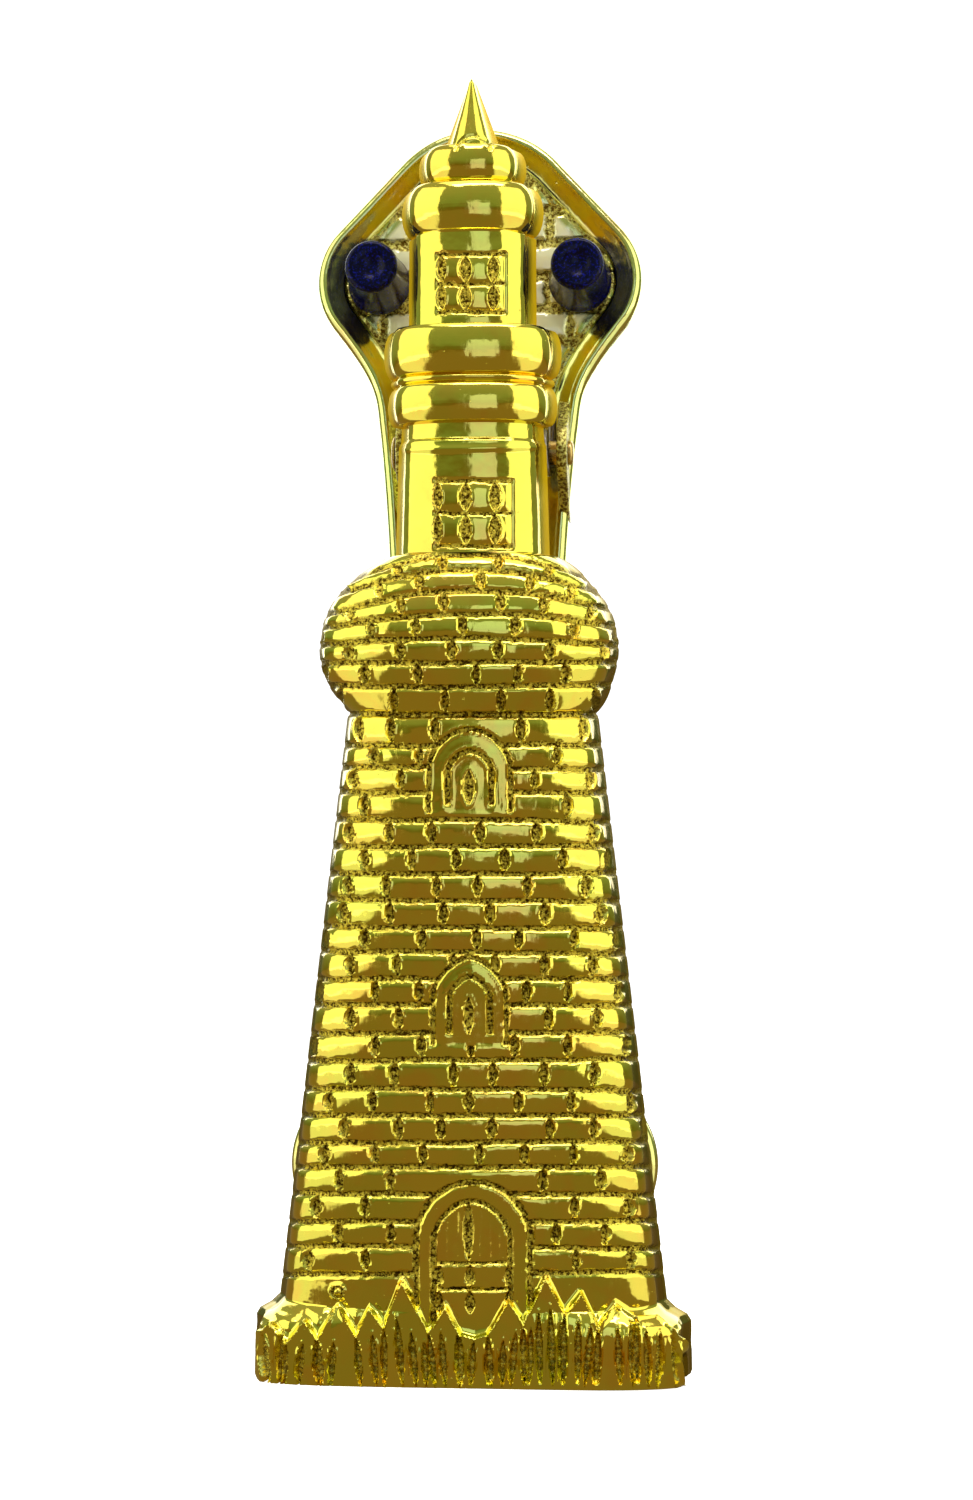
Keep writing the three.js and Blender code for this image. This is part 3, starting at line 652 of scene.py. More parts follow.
def distance_to(points, loop):
    """Rough distance of each point from a loop of close points."""
    best = np.full(len(points), 99.0)
    for p in loop:
        best = np.minimum(best, np.hypot(points[:, 0] - p[0], points[:, 1] - p[1]))
    return best


COURSE = 4.2  # height of one course of the plate's bricks
BRICK = 5.9
COURSE_Z = 1.4  # where a joint lies


def plate_bricks(x, z):
    """Height and roughness of the recessed field: smooth pads between broad granular joints."""
    row = np.floor((z - COURSE_Z) / COURSE)
    shift = 0.5 * BRICK * (row % 2) + 0.8 * (hashed(row, 3) - 0.5)
    column = np.floor((x - shift) / BRICK)
    up = z - COURSE_Z - row * COURSE
    across = x - shift - column * BRICK
    edge = np.minimum(np.minimum(up, COURSE - up) - 0.62, np.minimum(across, BRICK - across) - 0.5)
    edge = edge + 0.14 * value_noise(x, z, 1.1, 61) + 0.08 * value_noise(x, z, 0.45, 62)
    pad = smooth(-0.16, 0.2, edge)
    tilt = (hashed(row, column, 7) - 0.5) * 0.05 * up + (hashed(row, column, 8) - 0.5) * 0.03 * across
    grain = value_noise(x, z, 0.5, 63) * 0.6 + value_noise(x, z, 0.24, 64) * 0.4
    height = -0.5 * (1 - pad) + pad * (tilt + 0.1 * smooth(0, 1.2, edge))
    height = height + (1 - pad) * 0.16 * grain + 0.012 * grain
    return height, 1 - pad


def plate_piece(material):
    outline = plate_outline()
    # the rim: a round bead at the outer edge and a long slope down to the field
    rings = [(0.3, 0.0), (0.06, 0.08), (0.0, 0.3), (0.0, 1.2), (0.0, 2.4), (0.03, 2.9), (0.12, 3.3),
             (0.28, 3.62), (0.5, 3.86), (0.78, 3.98), (1.05, 3.99), (1.3, 3.9), (1.48, 3.76), (1.68, 3.66),
             (2.0, 3.55), (2.4, 3.38), (2.8, 3.18), (3.1, 2.98), (3.32, 2.78), (3.48, 2.5), (RIM_WIDTH, FLOOR)]
    loops = [inset_loop(outline, inward) for inward, _ in rings]
    points = []
    wave = value_noise(outline[:, 0], outline[:, 1], 7.0, 71)
    for loop, (_, front) in zip(loops, rings):
        lift = 0.06 * wave * smooth(FLOOR, RIM, front)
        points.append(np.column_stack([loop[:, 0], -(front + lift), loop[:, 1]]))
    faces = [list(f) for f in grid_faces(len(rings), len(outline))]
    points = np.vstack(points)
    rough = np.zeros(len(points))

    holes = [mouth_loop(), keyhole_loop()]
    holes += [circle(side * BUFFER_X, BUFFER_Z, SCREW_RADIUS + GAP, 24) for side in (-1, 1)]
    field = loops[-1]
    borders = [field] + holes
    spacing = 0.3
    low, high = field.min(axis=0), field.max(axis=0)
    gx, gz = np.meshgrid(np.arange(low[0], high[0], spacing), np.arange(low[1], high[1], spacing * 0.87))
    gx = gx + (np.arange(gx.shape[0]) % 2)[:, None] * spacing / 2
    inner = np.column_stack([gx.ravel(), gz.ravel()])
    inner += np.column_stack([hashed(inner[:, 0] * 9, inner[:, 1] * 7, 1),
                              hashed(inner[:, 0] * 7, inner[:, 1] * 9, 2)]) * 0.05
    inner = inner[within(inner, inset_loop(field, 0.18))]
    for hole in holes:
        middle = hole.mean(axis=0)
        grown = middle + (hole - middle) * (1 + 0.2 / np.linalg.norm(hole - middle, axis=1, keepdims=True))
        inner = inner[~within(inner, grown)]
    front_sheet, triangles = sheet(borders, inner)
    height, coarse = plate_bricks(front_sheet[:, 0], front_sheet[:, 1])
    near = distance_to(front_sheet, field)
    for hole in holes:
        near = np.minimum(near, distance_to(front_sheet, hole) * 1.4)
    fade = smooth(0.15, 0.75, near)
    start = len(points)
    relief = -(FLOOR + height * fade)
    points = np.vstack([points, np.column_stack([front_sheet[:, 0], relief, front_sheet[:, 1]])])
    rough = np.concatenate([rough, np.maximum(coarse, 1 - smooth(0.1, 0.9, near))])
    # painted highlight mask: brick faces clear of the field's edge and the holes, which the plate material
    # paints pale
    pad = np.concatenate([np.zeros(start), smooth(0.9, 1.6, near) * (1 - smooth(0.1, 0.6, coarse))])
    faces += [[k + start for k in t] for t in triangles]

    back_sheet, triangles = sheet([loops[0]] + holes, np.zeros((0, 2)))
    start = len(points)
    points = np.vstack([points, np.column_stack([back_sheet[:, 0], back_sheet[:, 0] * 0, back_sheet[:, 1]])])
    rough = np.concatenate([rough, np.zeros(len(back_sheet))])
    faces += [[k + start for k in t[::-1]] for t in triangles]

    for hole in holes:
        start = len(points)
        walls = [np.column_stack([hole[:, 0], np.full(len(hole), -front), hole[:, 1]])
                 for front in (FLOOR, 1.1, 0.0)]
        points = np.vstack([points] + walls)
        rough = np.concatenate([rough, np.full(3 * len(hole), 0.35)])
        faces += [[k + start for k in f] for f in grid_faces(3, len(hole))]
    pad = np.concatenate([pad, np.zeros(len(points) - len(pad))])
    obj = new_object("back_plate_casting", points, faces, {"cast": rough, "pad": pad})
    weld(obj, 0.0005)
    cut(obj, plate_cutters())
    join(obj, [ear_piece(*LEFT_EAR), ear_piece(*RIGHT_EAR)])
    obj.data.set_sharp_from_angle(angle=PLATE_SHARP)
    for polygon in obj.data.polygons:
        polygon.use_smooth = abs(polygon.normal.y) < 0.9999  # the flat back stays flat round its holes
    finish_piece(obj, "plate", "plate_brass", material, "back_plate")


def sheet(borders, inner):
    """A flat triangle mesh bounded by loops, the first of them outside and the rest holes."""
    edges, start = [], 0
    for loop in borders:
        n = len(loop)
        edges += [(start + k, start + (k + 1) % n) for k in range(n)]
        start += n
    every = np.vstack(borders + [inner])
    out = geometry.delaunay_2d_cdt([Vector(p) for p in every], edges, [], 0, 1e-5)
    points = np.array([tuple(p) for p in out[0]])
    triangles = np.array([t for t in out[2] if len(t) == 3])
    middle = points[triangles].mean(axis=1)
    keep = within(middle, borders[0])
    for hole in borders[1:]:
        keep &= ~within(middle, hole)
    triangles = triangles[keep]
    a, b, c = (points[triangles[:, k]] for k in range(3))
    turn = (b[:, 0] - a[:, 0]) * (c[:, 1] - a[:, 1]) - (b[:, 1] - a[:, 1]) * (c[:, 0] - a[:, 0])
    triangles[turn < 0] = triangles[turn < 0][:, ::-1]
    return points, triangles.tolist()


# ---------- mesh tools for the small pieces ----------
def weld(obj, distance):
    work = bmesh.new()
    work.from_mesh(obj.data)
    bmesh.ops.remove_doubles(work, verts=work.verts, dist=distance * MM)
    bmesh.ops.recalc_face_normals(work, faces=work.faces)
    work.to_mesh(obj.data)
    work.free()


def cut(obj, cutters):
    """Takes the cutters out of a solid, and removes them."""
    for cutter in cutters:
        tool = obj.modifiers.new("cut", "BOOLEAN")
        tool.operation, tool.solver, tool.object = "DIFFERENCE", "EXACT", cutter
    graph = bpy.context.evaluated_depsgraph_get()
    mesh = bpy.data.meshes.new_from_object(obj.evaluated_get(graph), depsgraph=graph)
    obj.modifiers.clear()
    obj.data = mesh
    for cutter in cutters:
        bpy.data.objects.remove(cutter)


def join(obj, others):
    """Adds other objects' meshes to one object."""
    work = bmesh.new()
    work.from_mesh(obj.data)
    for other in others:
        work.from_mesh(other.data)
        bpy.data.objects.remove(other)
    work.to_mesh(obj.data)
    work.free()
    for polygon in obj.data.polygons:
        polygon.use_smooth = True


def turned(name, profile, segments, place, closed=False, sharp=40):
    """A turned piece: profile of (radius, along), and place() takes across, across and along to a point."""
    points, faces, rings = [], [], []
    turn = np.linspace(0, 2 * math.pi, segments, endpoint=False)
    for radius, along in profile:
        if radius < 1e-6:
            rings.append([len(points)])
            points.append(place(0, 0, along))
        else:
            rings.append(list(range(len(points), len(points) + segments)))
            points += [place(radius * math.cos(t), radius * math.sin(t), along) for t in turn]
    pairs = list(zip(rings[:-1], rings[1:])) + ([(rings[-1], rings[0])] if closed else [])
    for a, b in pairs:
        for k in range(segments):
            j = (k + 1) % segments
            if len(a) == 1:
                faces.append([a[0], b[j], b[k]])
            elif len(b) == 1:
                faces.append([a[k], a[j], b[0]])
            else:
                faces.append([a[k], a[j], b[j], b[k]])
    obj = new_object(name, points, faces)
    weld(obj, 0.0001)
    obj.data.set_sharp_from_angle(angle=math.radians(sharp))
    return obj


def from_plate(x, z):
    """Turned pieces that stand on the plate: along is forward from its back."""
    return lambda a, b, along: (x + a, -along, z + b)


def along_pin(a, b, along):
    return (along, -PIN_FRONT + a, PIN_Z + b)


def box_points(x0, x1, y0, y1, z0, z1):
    points = [(x, y, z) for x in (x0, x1) for y in (y0, y1) for z in (z0, z1)]
    faces = [[0, 1, 3, 2], [4, 6, 7, 5], [0, 4, 5, 1], [2, 3, 7, 6], [0, 2, 6, 4], [1, 5, 7, 3]]
    return points, faces


def block(name, *limits):
    obj = new_object(name, *box_points(*limits), smooth_shading=False)
    weld(obj, 0.0001)
    return obj


def prism(name, outline, low, high, edge, place, sharp=40):
    """An outline drawn out between two levels, with softened edges; place() takes across, up and level."""
    outline = np.asarray(outline, float)
    if np.sum(outline[:, 0] * np.roll(outline[:, 1], -1) - outline[:, 1] * np.roll(outline[:, 0], -1)) < 0:
        outline = outline[::-1]
    levels = [(low, edge), (low + 0.3 * edge, 0.3 * edge), (low + edge, 0), (high - edge, 0),
              (high - 0.3 * edge, 0.3 * edge), (high, edge)]
    rings = [[place(x, z, level) for x, z in inset_loop(outline, inward)] for level, inward in levels]
    points, faces = swept(rings)
    n = len(outline)
    faces += [list(range(n))[::-1], [5 * n + k for k in range(n)]]
    obj = new_object(name, points, faces)
    weld(obj, 0.0001)
    obj.data.set_sharp_from_angle(angle=math.radians(sharp))
    return obj


# ---------- the pieces ----------
def ear_piece(left, right):
    """One of the two cast ears that carry the hinge pin; its root is sunk in the plate's field."""
    turn = np.linspace(math.pi, 0, 25)
    outline = np.vstack([[(-EAR_FOOT, 0.5), (-EAR_FOOT, FLOOR + 0.6)],
                         np.column_stack([EAR_RADIUS * np.cos(turn), PIN_FRONT + EAR_RADIUS * np.sin(turn)]),
                         [(EAR_FOOT, FLOOR + 0.6), (EAR_FOOT, 0.5)]])
    outline = even_loop(outline, 0.45)
    outline += np.column_stack([value_noise(outline[:, 0], outline[:, 1], 1.3, 81),
                                value_noise(outline[:, 0], outline[:, 1], 1.3, 82)]) * 0.1
    ear = prism("ear", outline, left, right, 0.25, lambda up, front, level: (level, -front, PIN_Z + up))
    hole = turned("hole", [(0, -20), (PIN_HOLE, -20), (PIN_HOLE, 20), (0, 20)], 40, along_pin)
    cut(ear, [hole])
    layer = ear.data.attributes.new("cast", "FLOAT", "POINT")
    layer.data.foreach_set("value", np.full(len(ear.data.vertices), 0.75, np.float32))
    return ear


def rivet_hole(side, depth):
    profile = [(0, -1), (RIVET_HOLE, -1), (RIVET_HOLE, depth), (0, depth)]
    return turned("rivet_hole", profile, 32, from_plate(side * RIVET_X, RIVET_Z))


def plate_cutters():
    """The lifter's pocket in the back, its rivet holes and the countersinks of the buffer screws."""
    half = LIFTER_WIDTH / 2 + GAP
    tools = [block("pocket", -half, half, -LIFTER_THICK - GAP, 1, LIFTER_Z - LIFTER_TAIL - GAP, LIFTER_Z + 1)]
    for side in (-1, 1):
        tools.append(rivet_hole(side, 9))
        sink = [(0, -0.5), (3.25, -0.5), (1.56, 1.19), (0, 1.19)]
        tools.append(turned("countersink", sink, 48, from_plate(side * BUFFER_X, BUFFER_Z)))
    return tools


def paired(side, node, part, slot, material, profile, segments, place, closed=False, sharp=40, cutters=()):
    """A turned piece of a left and right pair, named after the CAD node that it stands for."""
    node += "_right" if side > 0 else "_left"
    obj = turned(node + "_" + part, profile, segments, place, closed, sharp)
    if cutters:
        cut(obj, cutters)
    finish_piece(obj, "plate", slot, material, node)


def buffer_piece(side, material):
    base, top = FLOOR + GAP, FLOOR + 10.0
    pocket, inner = base + 4.6, INSERT_RADIUS + GAP
    profile = [(inner, base), (3.55, base), (3.78, base + 0.06), (3.93, base + 0.25), (3.95, base + 0.55),
               (3.9, base + 0.85), (3.8, base + 1.25), (3.72, base + 1.9)]
    profile += [(3.72 - 0.45 * t, base + 1.9 + t * (top - base - 2.75)) for t in np.linspace(0.15, 1, 7)]
    profile += [(3.27 - 0.62 * (1 - math.cos(a)), top - 0.85 + 0.83 * math.sin(a))
                for a in np.linspace(0.2, math.pi / 2, 7)]
    profile += [(2.35, top), (1.95, top - 0.03), (1.5, top - 0.17), (1.0, top - 0.36), (0.5, top - 0.45),
                (0, top - 0.47)]
    profile = [(0, pocket), (inner - 0.2, pocket), (inner, pocket - 0.2)] + profile
    paired(side, "buffer", "rubber", "blue_rubber", material, profile, 72,
           from_plate(side * BUFFER_X, BUFFER_Z), sharp=50)


def insert_piece(side, material):
    base = FLOOR + GAP
    inner, outer = SCREW_RADIUS + GAP, INSERT_RADIUS
    profile = [(inner, base + 0.2), (inner + 0.2, base), (outer - 0.15, base), (outer, base + 0.15)]
    for k in range(6):  # barbs that hold it in the rubber
        low = base + 0.4 + 0.6 * k
        profile += [(outer, low), (outer - 0.22, low + 0.42), (outer, low + 0.5)]
    profile += [(outer, base + 4.05), (outer - 0.15, base + 4.2), (inner + 0.1, base + 4.2),
                (inner, base + 4.1)]
    paired(side, "buffer_insert", "sleeve", "pin_brass", material, profile, 48,
           from_plate(side * BUFFER_X, BUFFER_Z), True)


def screw_piece(side, material):
    """A countersunk screw with a cross recess, its head in the plate's back."""
    head = SCREW_RADIUS + 1.2
    profile = [(0, 0.12), (head - 0.25, 0.14), (head, 0.24), (head, 0.36), (SCREW_RADIUS, 1.35)]
    low, high = 1.75, FLOOR + 3.3
    for k in range(int((high - low) / 0.45)):  # thread
        at = low + 0.45 * k
        profile += [(SCREW_RADIUS, at), (SCREW_RADIUS - 0.16, at + 0.22), (SCREW_RADIUS, at + 0.4)]
    profile += [(SCREW_RADIUS, FLOOR + 3.6), (0.75, FLOOR + 4.0), (0, FLOOR + 4.0)]
    x, z, long, thin = side * BUFFER_X, BUFFER_Z, 1.45, 0.27
    cross = [block("slot_a", x - long, x + long, -0.95, 1, z - thin, z + thin),
             block("slot_b", x - thin, x + thin, -0.95, 1, z - long, z + long)]
    paired(side, "buffer_screw", "detail", "steel", material, profile, 48, from_plate(x, z), cutters=cross)


def rivet_piece(side, material):
    top = FLOOR + GAP
    dome = [(1.7 * math.cos(a), top + 0.16 + 0.74 * math.sin(a)) for a in np.linspace(0, math.pi / 2, 9)]
    profile = [(0, 0.08), (0.6, 0.06), (0.82, 0.1), (0.9, 0.25), (0.9, top), (1.6, top), (1.7, top + 0.08)]
    profile += dome[1:-1] + [(0, top + 0.9)]
    paired(side, "lifter_rivet", "head", "steel", material, profile, 40, from_plate(side * RIVET_X, RIVET_Z))


def lifter_piece(material):
    """The tongue that catches the cap, in its pocket in the plate's back."""
    half, corner_radius = LIFTER_WIDTH / 2, 1.6
    flat = half - corner_radius
    crest = [(x, LIFTER_REACH - 0.75 * (1 - (x / flat) ** 2)) for x in np.linspace(flat, -flat, 21)]
    right = [(flat + corner_radius * math.cos(a), LIFTER_REACH - corner_radius + corner_radius * math.sin(a))
             for a in np.linspace(0, math.pi / 2, 8)]
    left = [(-x, z) for x, z in right[::-1]]
    outline = [(-half, -LIFTER_TAIL), (half, -LIFTER_TAIL)] + right + crest[1:-1] + left
    outline = even_loop(np.array(outline), 0.35)
    obj = prism("cap_lifter_tongue", outline, 0.0, LIFTER_THICK, 0.14,
                lambda x, z, level: (x, -level, LIFTER_Z + z))
    cut(obj, [rivet_hole(side, 4) for side in (-1, 1)])
    finish_piece(obj, "plate", "steel", material, "cap_lifter")


def pin_piece(material):
    """The hinge pin: a turned head at the left, and a peened end at the right."""
    left, right = LEFT_EAR[0] - GAP, RIGHT_EAR[1] + GAP
    profile = [(0, left - 0.48), (0.9, left - 0.46), (1.6, left - 0.38), (2.05, left - 0.22),
               (2.2, left - 0.08), (2.15, left), (1.62, left), (1.5, left + 0.12), (1.5, right - 0.1),
               (1.52, right), (1.42, right + 0.2), (1.1, right + 0.36), (0.5, right + 0.4), (0, right + 0.37)]
    obj = turned("hinge_pin_rod", profile, 56, along_pin)
    finish_piece(obj, "plate", "pin_brass", material, "hinge_pin")


def spacer_piece(material):
    inner, outer, x0, x1, edge = PIN_HOLE, 2.7, LEFT_EAR[1] + GAP, -7.1, 0.15
    profile = [(inner, x0 + edge), (inner + edge, x0), (outer - edge, x0), (outer, x0 + edge),
               (outer, x1 - edge), (outer - edge, x1), (inner + edge, x1), (inner, x1 - edge)]
    obj = turned("hinge_spacer_sleeve", profile, 56, along_pin, True)
    finish_piece(obj, "plate", "pin_brass", material, "hinge_spacer")


def tube(name, path, radius, material, body, sides=14):
    """Round wire along a path, with its ends rounded off."""
    path = np.array(path)
    along = np.gradient(path, axis=0)
    along /= np.linalg.norm(along, axis=1, keepdims=True)
    side = np.cross(along[0], [0.3, 1, 0.2])
    rings = []
    turn = np.linspace(0, 2 * math.pi, sides, endpoint=False)[:, None]
    for p, t in zip(path, along):
        side = side - t * np.dot(side, t)
        side /= np.linalg.norm(side)
        other = np.cross(t, side)
        rings.append(p + radius * (np.cos(turn) * side + np.sin(turn) * other))
    caps_at = []
    for p, t, ring in ((path[0], -along[0], rings[0]), (path[-1], along[-1], rings[-1])):
        caps_at.append([p + 0.75 * (ring - p) + t * 0.22 * radius, p + 0.35 * (ring - p) + t * 0.33 * radius])
    rings = [caps_at[0][1], caps_at[0][0]] + rings + [caps_at[1][0], caps_at[1][1]]
    points, faces = swept(rings)
    faces += [list(range(sides))[::-1], [(len(rings) - 1) * sides + k for k in range(sides)]]
    obj = new_object(name, points, faces)
    weld(obj, 0.0001)
    finish_piece(obj, body, "spring_steel", material, "torsion_spring")


def spring_pieces(material):
    """The coil with its leg on the plate's rim, and the leg that pushes the lighthouse."""
    wire, turns, coil_radius, right, left, length, slope = 0.5, 3.5, 2.45, 9.4, 5.0, 7.5, 1.25
    rest = PIN_FRONT - RIM - GAP - wire
    coil = []
    for s in np.linspace(1, 0, 16, endpoint=False):
        coil.append((right, coil_radius + s * (rest - coil_radius), s * length))
    for turn in np.linspace(0, 1, 160):
        angle = math.pi / 2 + turn * turns * 2 * math.pi
        coil.append((right + turn * (left - right), coil_radius * math.sin(angle),
                     coil_radius * math.cos(angle)))
    leg = [(left, -coil_radius - s * slope, s * length) for s in np.linspace(0, 1, 14)]
    lead = [(left, -coil_radius * math.cos(a), -coil_radius * math.sin(a))
            for a in np.linspace(0.5, 0, 6, endpoint=False)]
    # the leg starts inside the coil's wire, so it is a little thinner
    for name, path, body, radius in (("torsion_spring_coil", coil, "plate", wire),
                                     ("torsion_spring_leg", lead + leg, "tower", wire - 0.01)):
        tube(name, np.array(path) + [0, -PIN_FRONT, PIN_Z], radius, material, body)


# ---------- materials ----------
class Nodes:
    """A material's node tree, built by short calls; each returns an output socket."""

    def __init__(self, name):
        self.material = bpy.data.materials.new(name)
        self.material.use_nodes = True
        self.tree = self.material.node_tree
        self.shader = self.tree.nodes["Principled BSDF"]
        place = self.tree.nodes.new("ShaderNodeTexCoord")
        self.place = self.stretch(place.outputs["Object"], (1 / MM, 1 / MM, 1 / MM))

    def node(self, kind, inputs=(), **settings):
        node = self.tree.nodes.new(kind)
        for key, value in settings.items():
            setattr(node, key, value)
        for key, value in dict(inputs).items():
            if isinstance(value, bpy.types.NodeSocket):
                self.tree.links.new(value, node.inputs[key])
            else:
                node.inputs[key].default_value = value
        return node

    def stretch(self, place, scale):
        return self.node("ShaderNodeVectorMath", {0: place, 1: scale}, operation="MULTIPLY").outputs[0]

    def noise(self, scale, detail=3.0, rough=0.55, place=None, distortion=0.0):
        inputs = {"Vector": place or self.place, "Scale": scale, "Detail": detail, "Roughness": rough,
                  "Distortion": distortion}
        return self.node("ShaderNodeTexNoise", inputs).outputs["Fac"]

    def ramp(self, value, low, high, to_low=0.0, to_high=1.0):
        inputs = {"Value": value, "From Min": low, "From Max": high, "To Min": to_low, "To Max": to_high}
        return self.node("ShaderNodeMapRange", inputs, interpolation_type="SMOOTHSTEP").outputs[0]

    def math(self, operation, a, b=0.0):
        return self.node("ShaderNodeMath", {0: a, 1: b}, operation=operation).outputs[0]

    def mix(self, factor, a, b):
        node = self.node("ShaderNodeMix", data_type="RGBA")
        for key, value in ((0, factor), (6, a), (7, b)):
            if isinstance(value, bpy.types.NodeSocket):
                self.tree.links.new(value, node.inputs[key])
            else:
                node.inputs[key].default_value = value if key == 0 else (*value, 1.0)
        return node.outputs[2]

    def attribute(self, name):
        return self.node("ShaderNodeAttribute", attribute_name=name).outputs["Fac"]

    def bump(self, height, distance, strength=1.0, before=None):
        inputs = {"Height": height, "Distance": distance * MM, "Strength": strength}
        if before is not None:
            inputs["Normal"] = before
        return self.node("ShaderNodeBump", inputs).outputs["Normal"]

    def set(self, **values):
        for key, value in values.items():
            socket = self.shader.inputs[key.replace("_", " ")]
            if isinstance(value, bpy.types.NodeSocket):
                self.tree.links.new(value, socket)
            else:
                socket.default_value = (*value, 1.0) if isinstance(value, tuple) else value
        return self.material


def tinted(colour, by):
    return tuple(c * k for c, k in zip(colour, by))


def cast_brass(name, polished, hollow, satin_colour, smoothness, pad_highlight_nonmetal=0.0):
    """Polished brass whose joints keep the rough skin of the casting."""
    n = Nodes(name)
    cast, satin = n.attribute("cast"), n.attribute("satin")
    grain = n.noise(2.6, 4.0, 0.7)
    speck = n.ramp(grain, 0.43, 0.57)
    cloud = n.noise(0.12, 3.0)
    tint = n.mix(n.ramp(cloud, 0.4, 0.65, 0.0, 0.7), polished, tinted(polished, (0.84, 1.04, 1.0)))
    warm = n.ramp(n.noise(0.21, 3.0), 0.48, 0.68, 0.0, 0.6)
    tint = n.mix(warm, tint, tinted(polished, (1.04, 0.82, 0.9)))
    rough_colour = n.mix(speck, hollow, tinted(polished, (0.93, 0.9, 0.7)))
    colour = n.mix(n.ramp(cast, 0.25, 0.75), tint, rough_colour)
    colour = n.mix(n.ramp(satin, 0.1, 0.7), colour, satin_colour)
    scratches = n.noise(1.0, 3.0, 0.6, n.stretch(n.place, (3.2, 3.2, 0.5)))
    fine = n.ramp(scratches, 0.3, 0.75, smoothness, smoothness + 0.08)
    roughness = n.math("ADD", fine, n.math("MULTIPLY", cast, 0.3))
    roughness = n.math("MAXIMUM", roughness, n.math("MULTIPLY", satin, 0.62))
    pits = n.ramp(n.noise(1.6, 2.0), 0.74, 0.8, 0.0, -1.0)
    normal = n.bump(cloud, 0.5, 0.5)
    normal = n.bump(n.noise(0.5, 2.0), 0.06, 0.6, normal)
    normal = n.bump(scratches, 0.006, 0.5, normal)
    normal = n.bump(pits, 0.05, 0.6, normal)
    coarse = n.math("MAXIMUM", cast, n.math("MULTIPLY", satin, 0.25))
    normal = n.bump(n.math("MULTIPLY", grain, coarse), 0.16, 1.0, normal)
    painted_edge_shade_colour, painted_pad_highlight = (0.16, 0.11, 0.01), (1.0, 1.0, 0.6)
    # painted shade: the tower's side edges are darkened towards dark brown, standing in for the dark
    # reflection there
    colour = n.mix(n.attribute("painted_edge_shade"), colour, painted_edge_shade_colour)
    # painted highlight: the plate's brick faces are painted pale and made partly non-metallic, standing in for
    # a lamp that they reflect
    pad = n.attribute("pad")
    colour = n.mix(pad, colour, painted_pad_highlight)
    metal = n.math("SUBTRACT", 1.0, n.math("MULTIPLY", pad, pad_highlight_nonmetal))
    return n.set(Base_Color=colour, Metallic=metal, Roughness=roughness, Normal=normal)


def turned_metal(name, colour, other, low, high, stretch_by, bump=0.01):
    """Drawn, turned or plated metal: fine lines one way and cloudy wear."""
    n = Nodes(name)
    lines = n.noise(1.0, 4.0, 0.65, n.stretch(n.place, stretch_by))
    cloud = n.noise(0.9, 3.0)
    tint = n.mix(n.ramp(cloud, 0.35, 0.68), colour, other)
    roughness = n.math("ADD", n.ramp(lines, 0.3, 0.7, low, high), n.ramp(cloud, 0.45, 0.7, 0.0, 0.12))
    normal = n.bump(lines, bump, 0.7)
    normal = n.bump(n.noise(4.0, 2.0), bump * 0.6, 0.5, normal)
    return n.set(Base_Color=tint, Metallic=1.0, Roughness=roughness, Normal=normal)


def moulded_rubber(name):
    """Glossy dark navy rubber with blue specks and a little dust."""
    n = Nodes(name)
    specks = n.ramp(n.noise(3.2, 3.0, 0.7), 0.5, 0.68)
    cloud = n.ramp(n.noise(0.6, 3.0), 0.35, 0.7)
    colour = n.mix(specks, (0.0012, 0.0012, 0.016), (0.006, 0.012, 0.3))
    colour = n.mix(n.math("MULTIPLY", cloud, 0.35), colour, (0.004, 0.003, 0.01))
    roughness = n.ramp(n.noise(2.0, 3.0), 0.3, 0.7, 0.1, 0.24)
    normal = n.bump(n.noise(3.5, 3.0, 0.6), 0.02, 0.6)
    return n.set(Base_Color=colour, Roughness=roughness, Normal=normal, Specular_IOR_Level=0.16)


def floor_material():
    """White to the camera; the brass sees it as dim brown in front and behind, and pale at both sides."""
    n = Nodes("pale_floor")
    cloud = n.noise(0.01, 2.0)
    seen = n.node("ShaderNodeLightPath").outputs["Is Camera Ray"]
    pale = n.mix(cloud, (0.86, 0.86, 0.85), (0.9, 0.9, 0.9))
    split = n.node("ShaderNodeSeparateXYZ", {0: n.place})
    across = n.math("SUBTRACT", n.math("ABSOLUTE", split.outputs["X"]), 55.0)
    side = n.math("ARCTAN2", across, n.math("MULTIPLY", split.outputs["Y"], -1.0))
    lit = n.ramp(side, math.radians(30), math.radians(38), 0.05, 1.0)
    dark = n.ramp(side, math.radians(96), math.radians(104), 1.0, 0.05)
    glow = n.math("MULTIPLY", lit, dark)
    reflected = n.mix(glow, (0.19, 0.125, 0.02), (1.0, 0.98, 0.92))
    colour, glowing = n.mix(seen, (0.0, 0.0, 0.0), pale), n.mix(seen, reflected, (1.0, 1.0, 1.0))
    return n.set(Base_Color=colour, Roughness=0.8, Emission_Color=glowing, Emission_Strength=1.0,
                 Specular_IOR_Level=0.0)


LIGHTHOUSE = cast_brass("polished_cast_brass", (0.93, 0.75, 0.1), (0.07, 0.035, 0.0015), (0.84, 0.58, 0.012),
                        0.055)
PLATE = cast_brass("plate_cast_brass", (0.86, 0.82, 0.26), (0.16, 0.1, 0.01), (0.66, 0.42, 0.01), 0.12, 0.85)
PIN = turned_metal("drawn_brass", (0.78, 0.56, 0.2), (0.66, 0.45, 0.14), 0.18, 0.34, (0.4, 6, 6))
STEEL = turned_metal("plated_steel", (0.56, 0.57, 0.58), (0.48, 0.48, 0.46), 0.24, 0.42, (5, 5, 0.5))
SPRING = turned_metal("spring_wire", (0.36, 0.34, 0.31), (0.27, 0.24, 0.2), 0.22, 0.4, (5, 5, 5))
RUBBER = moulded_rubber("navy_rubber")

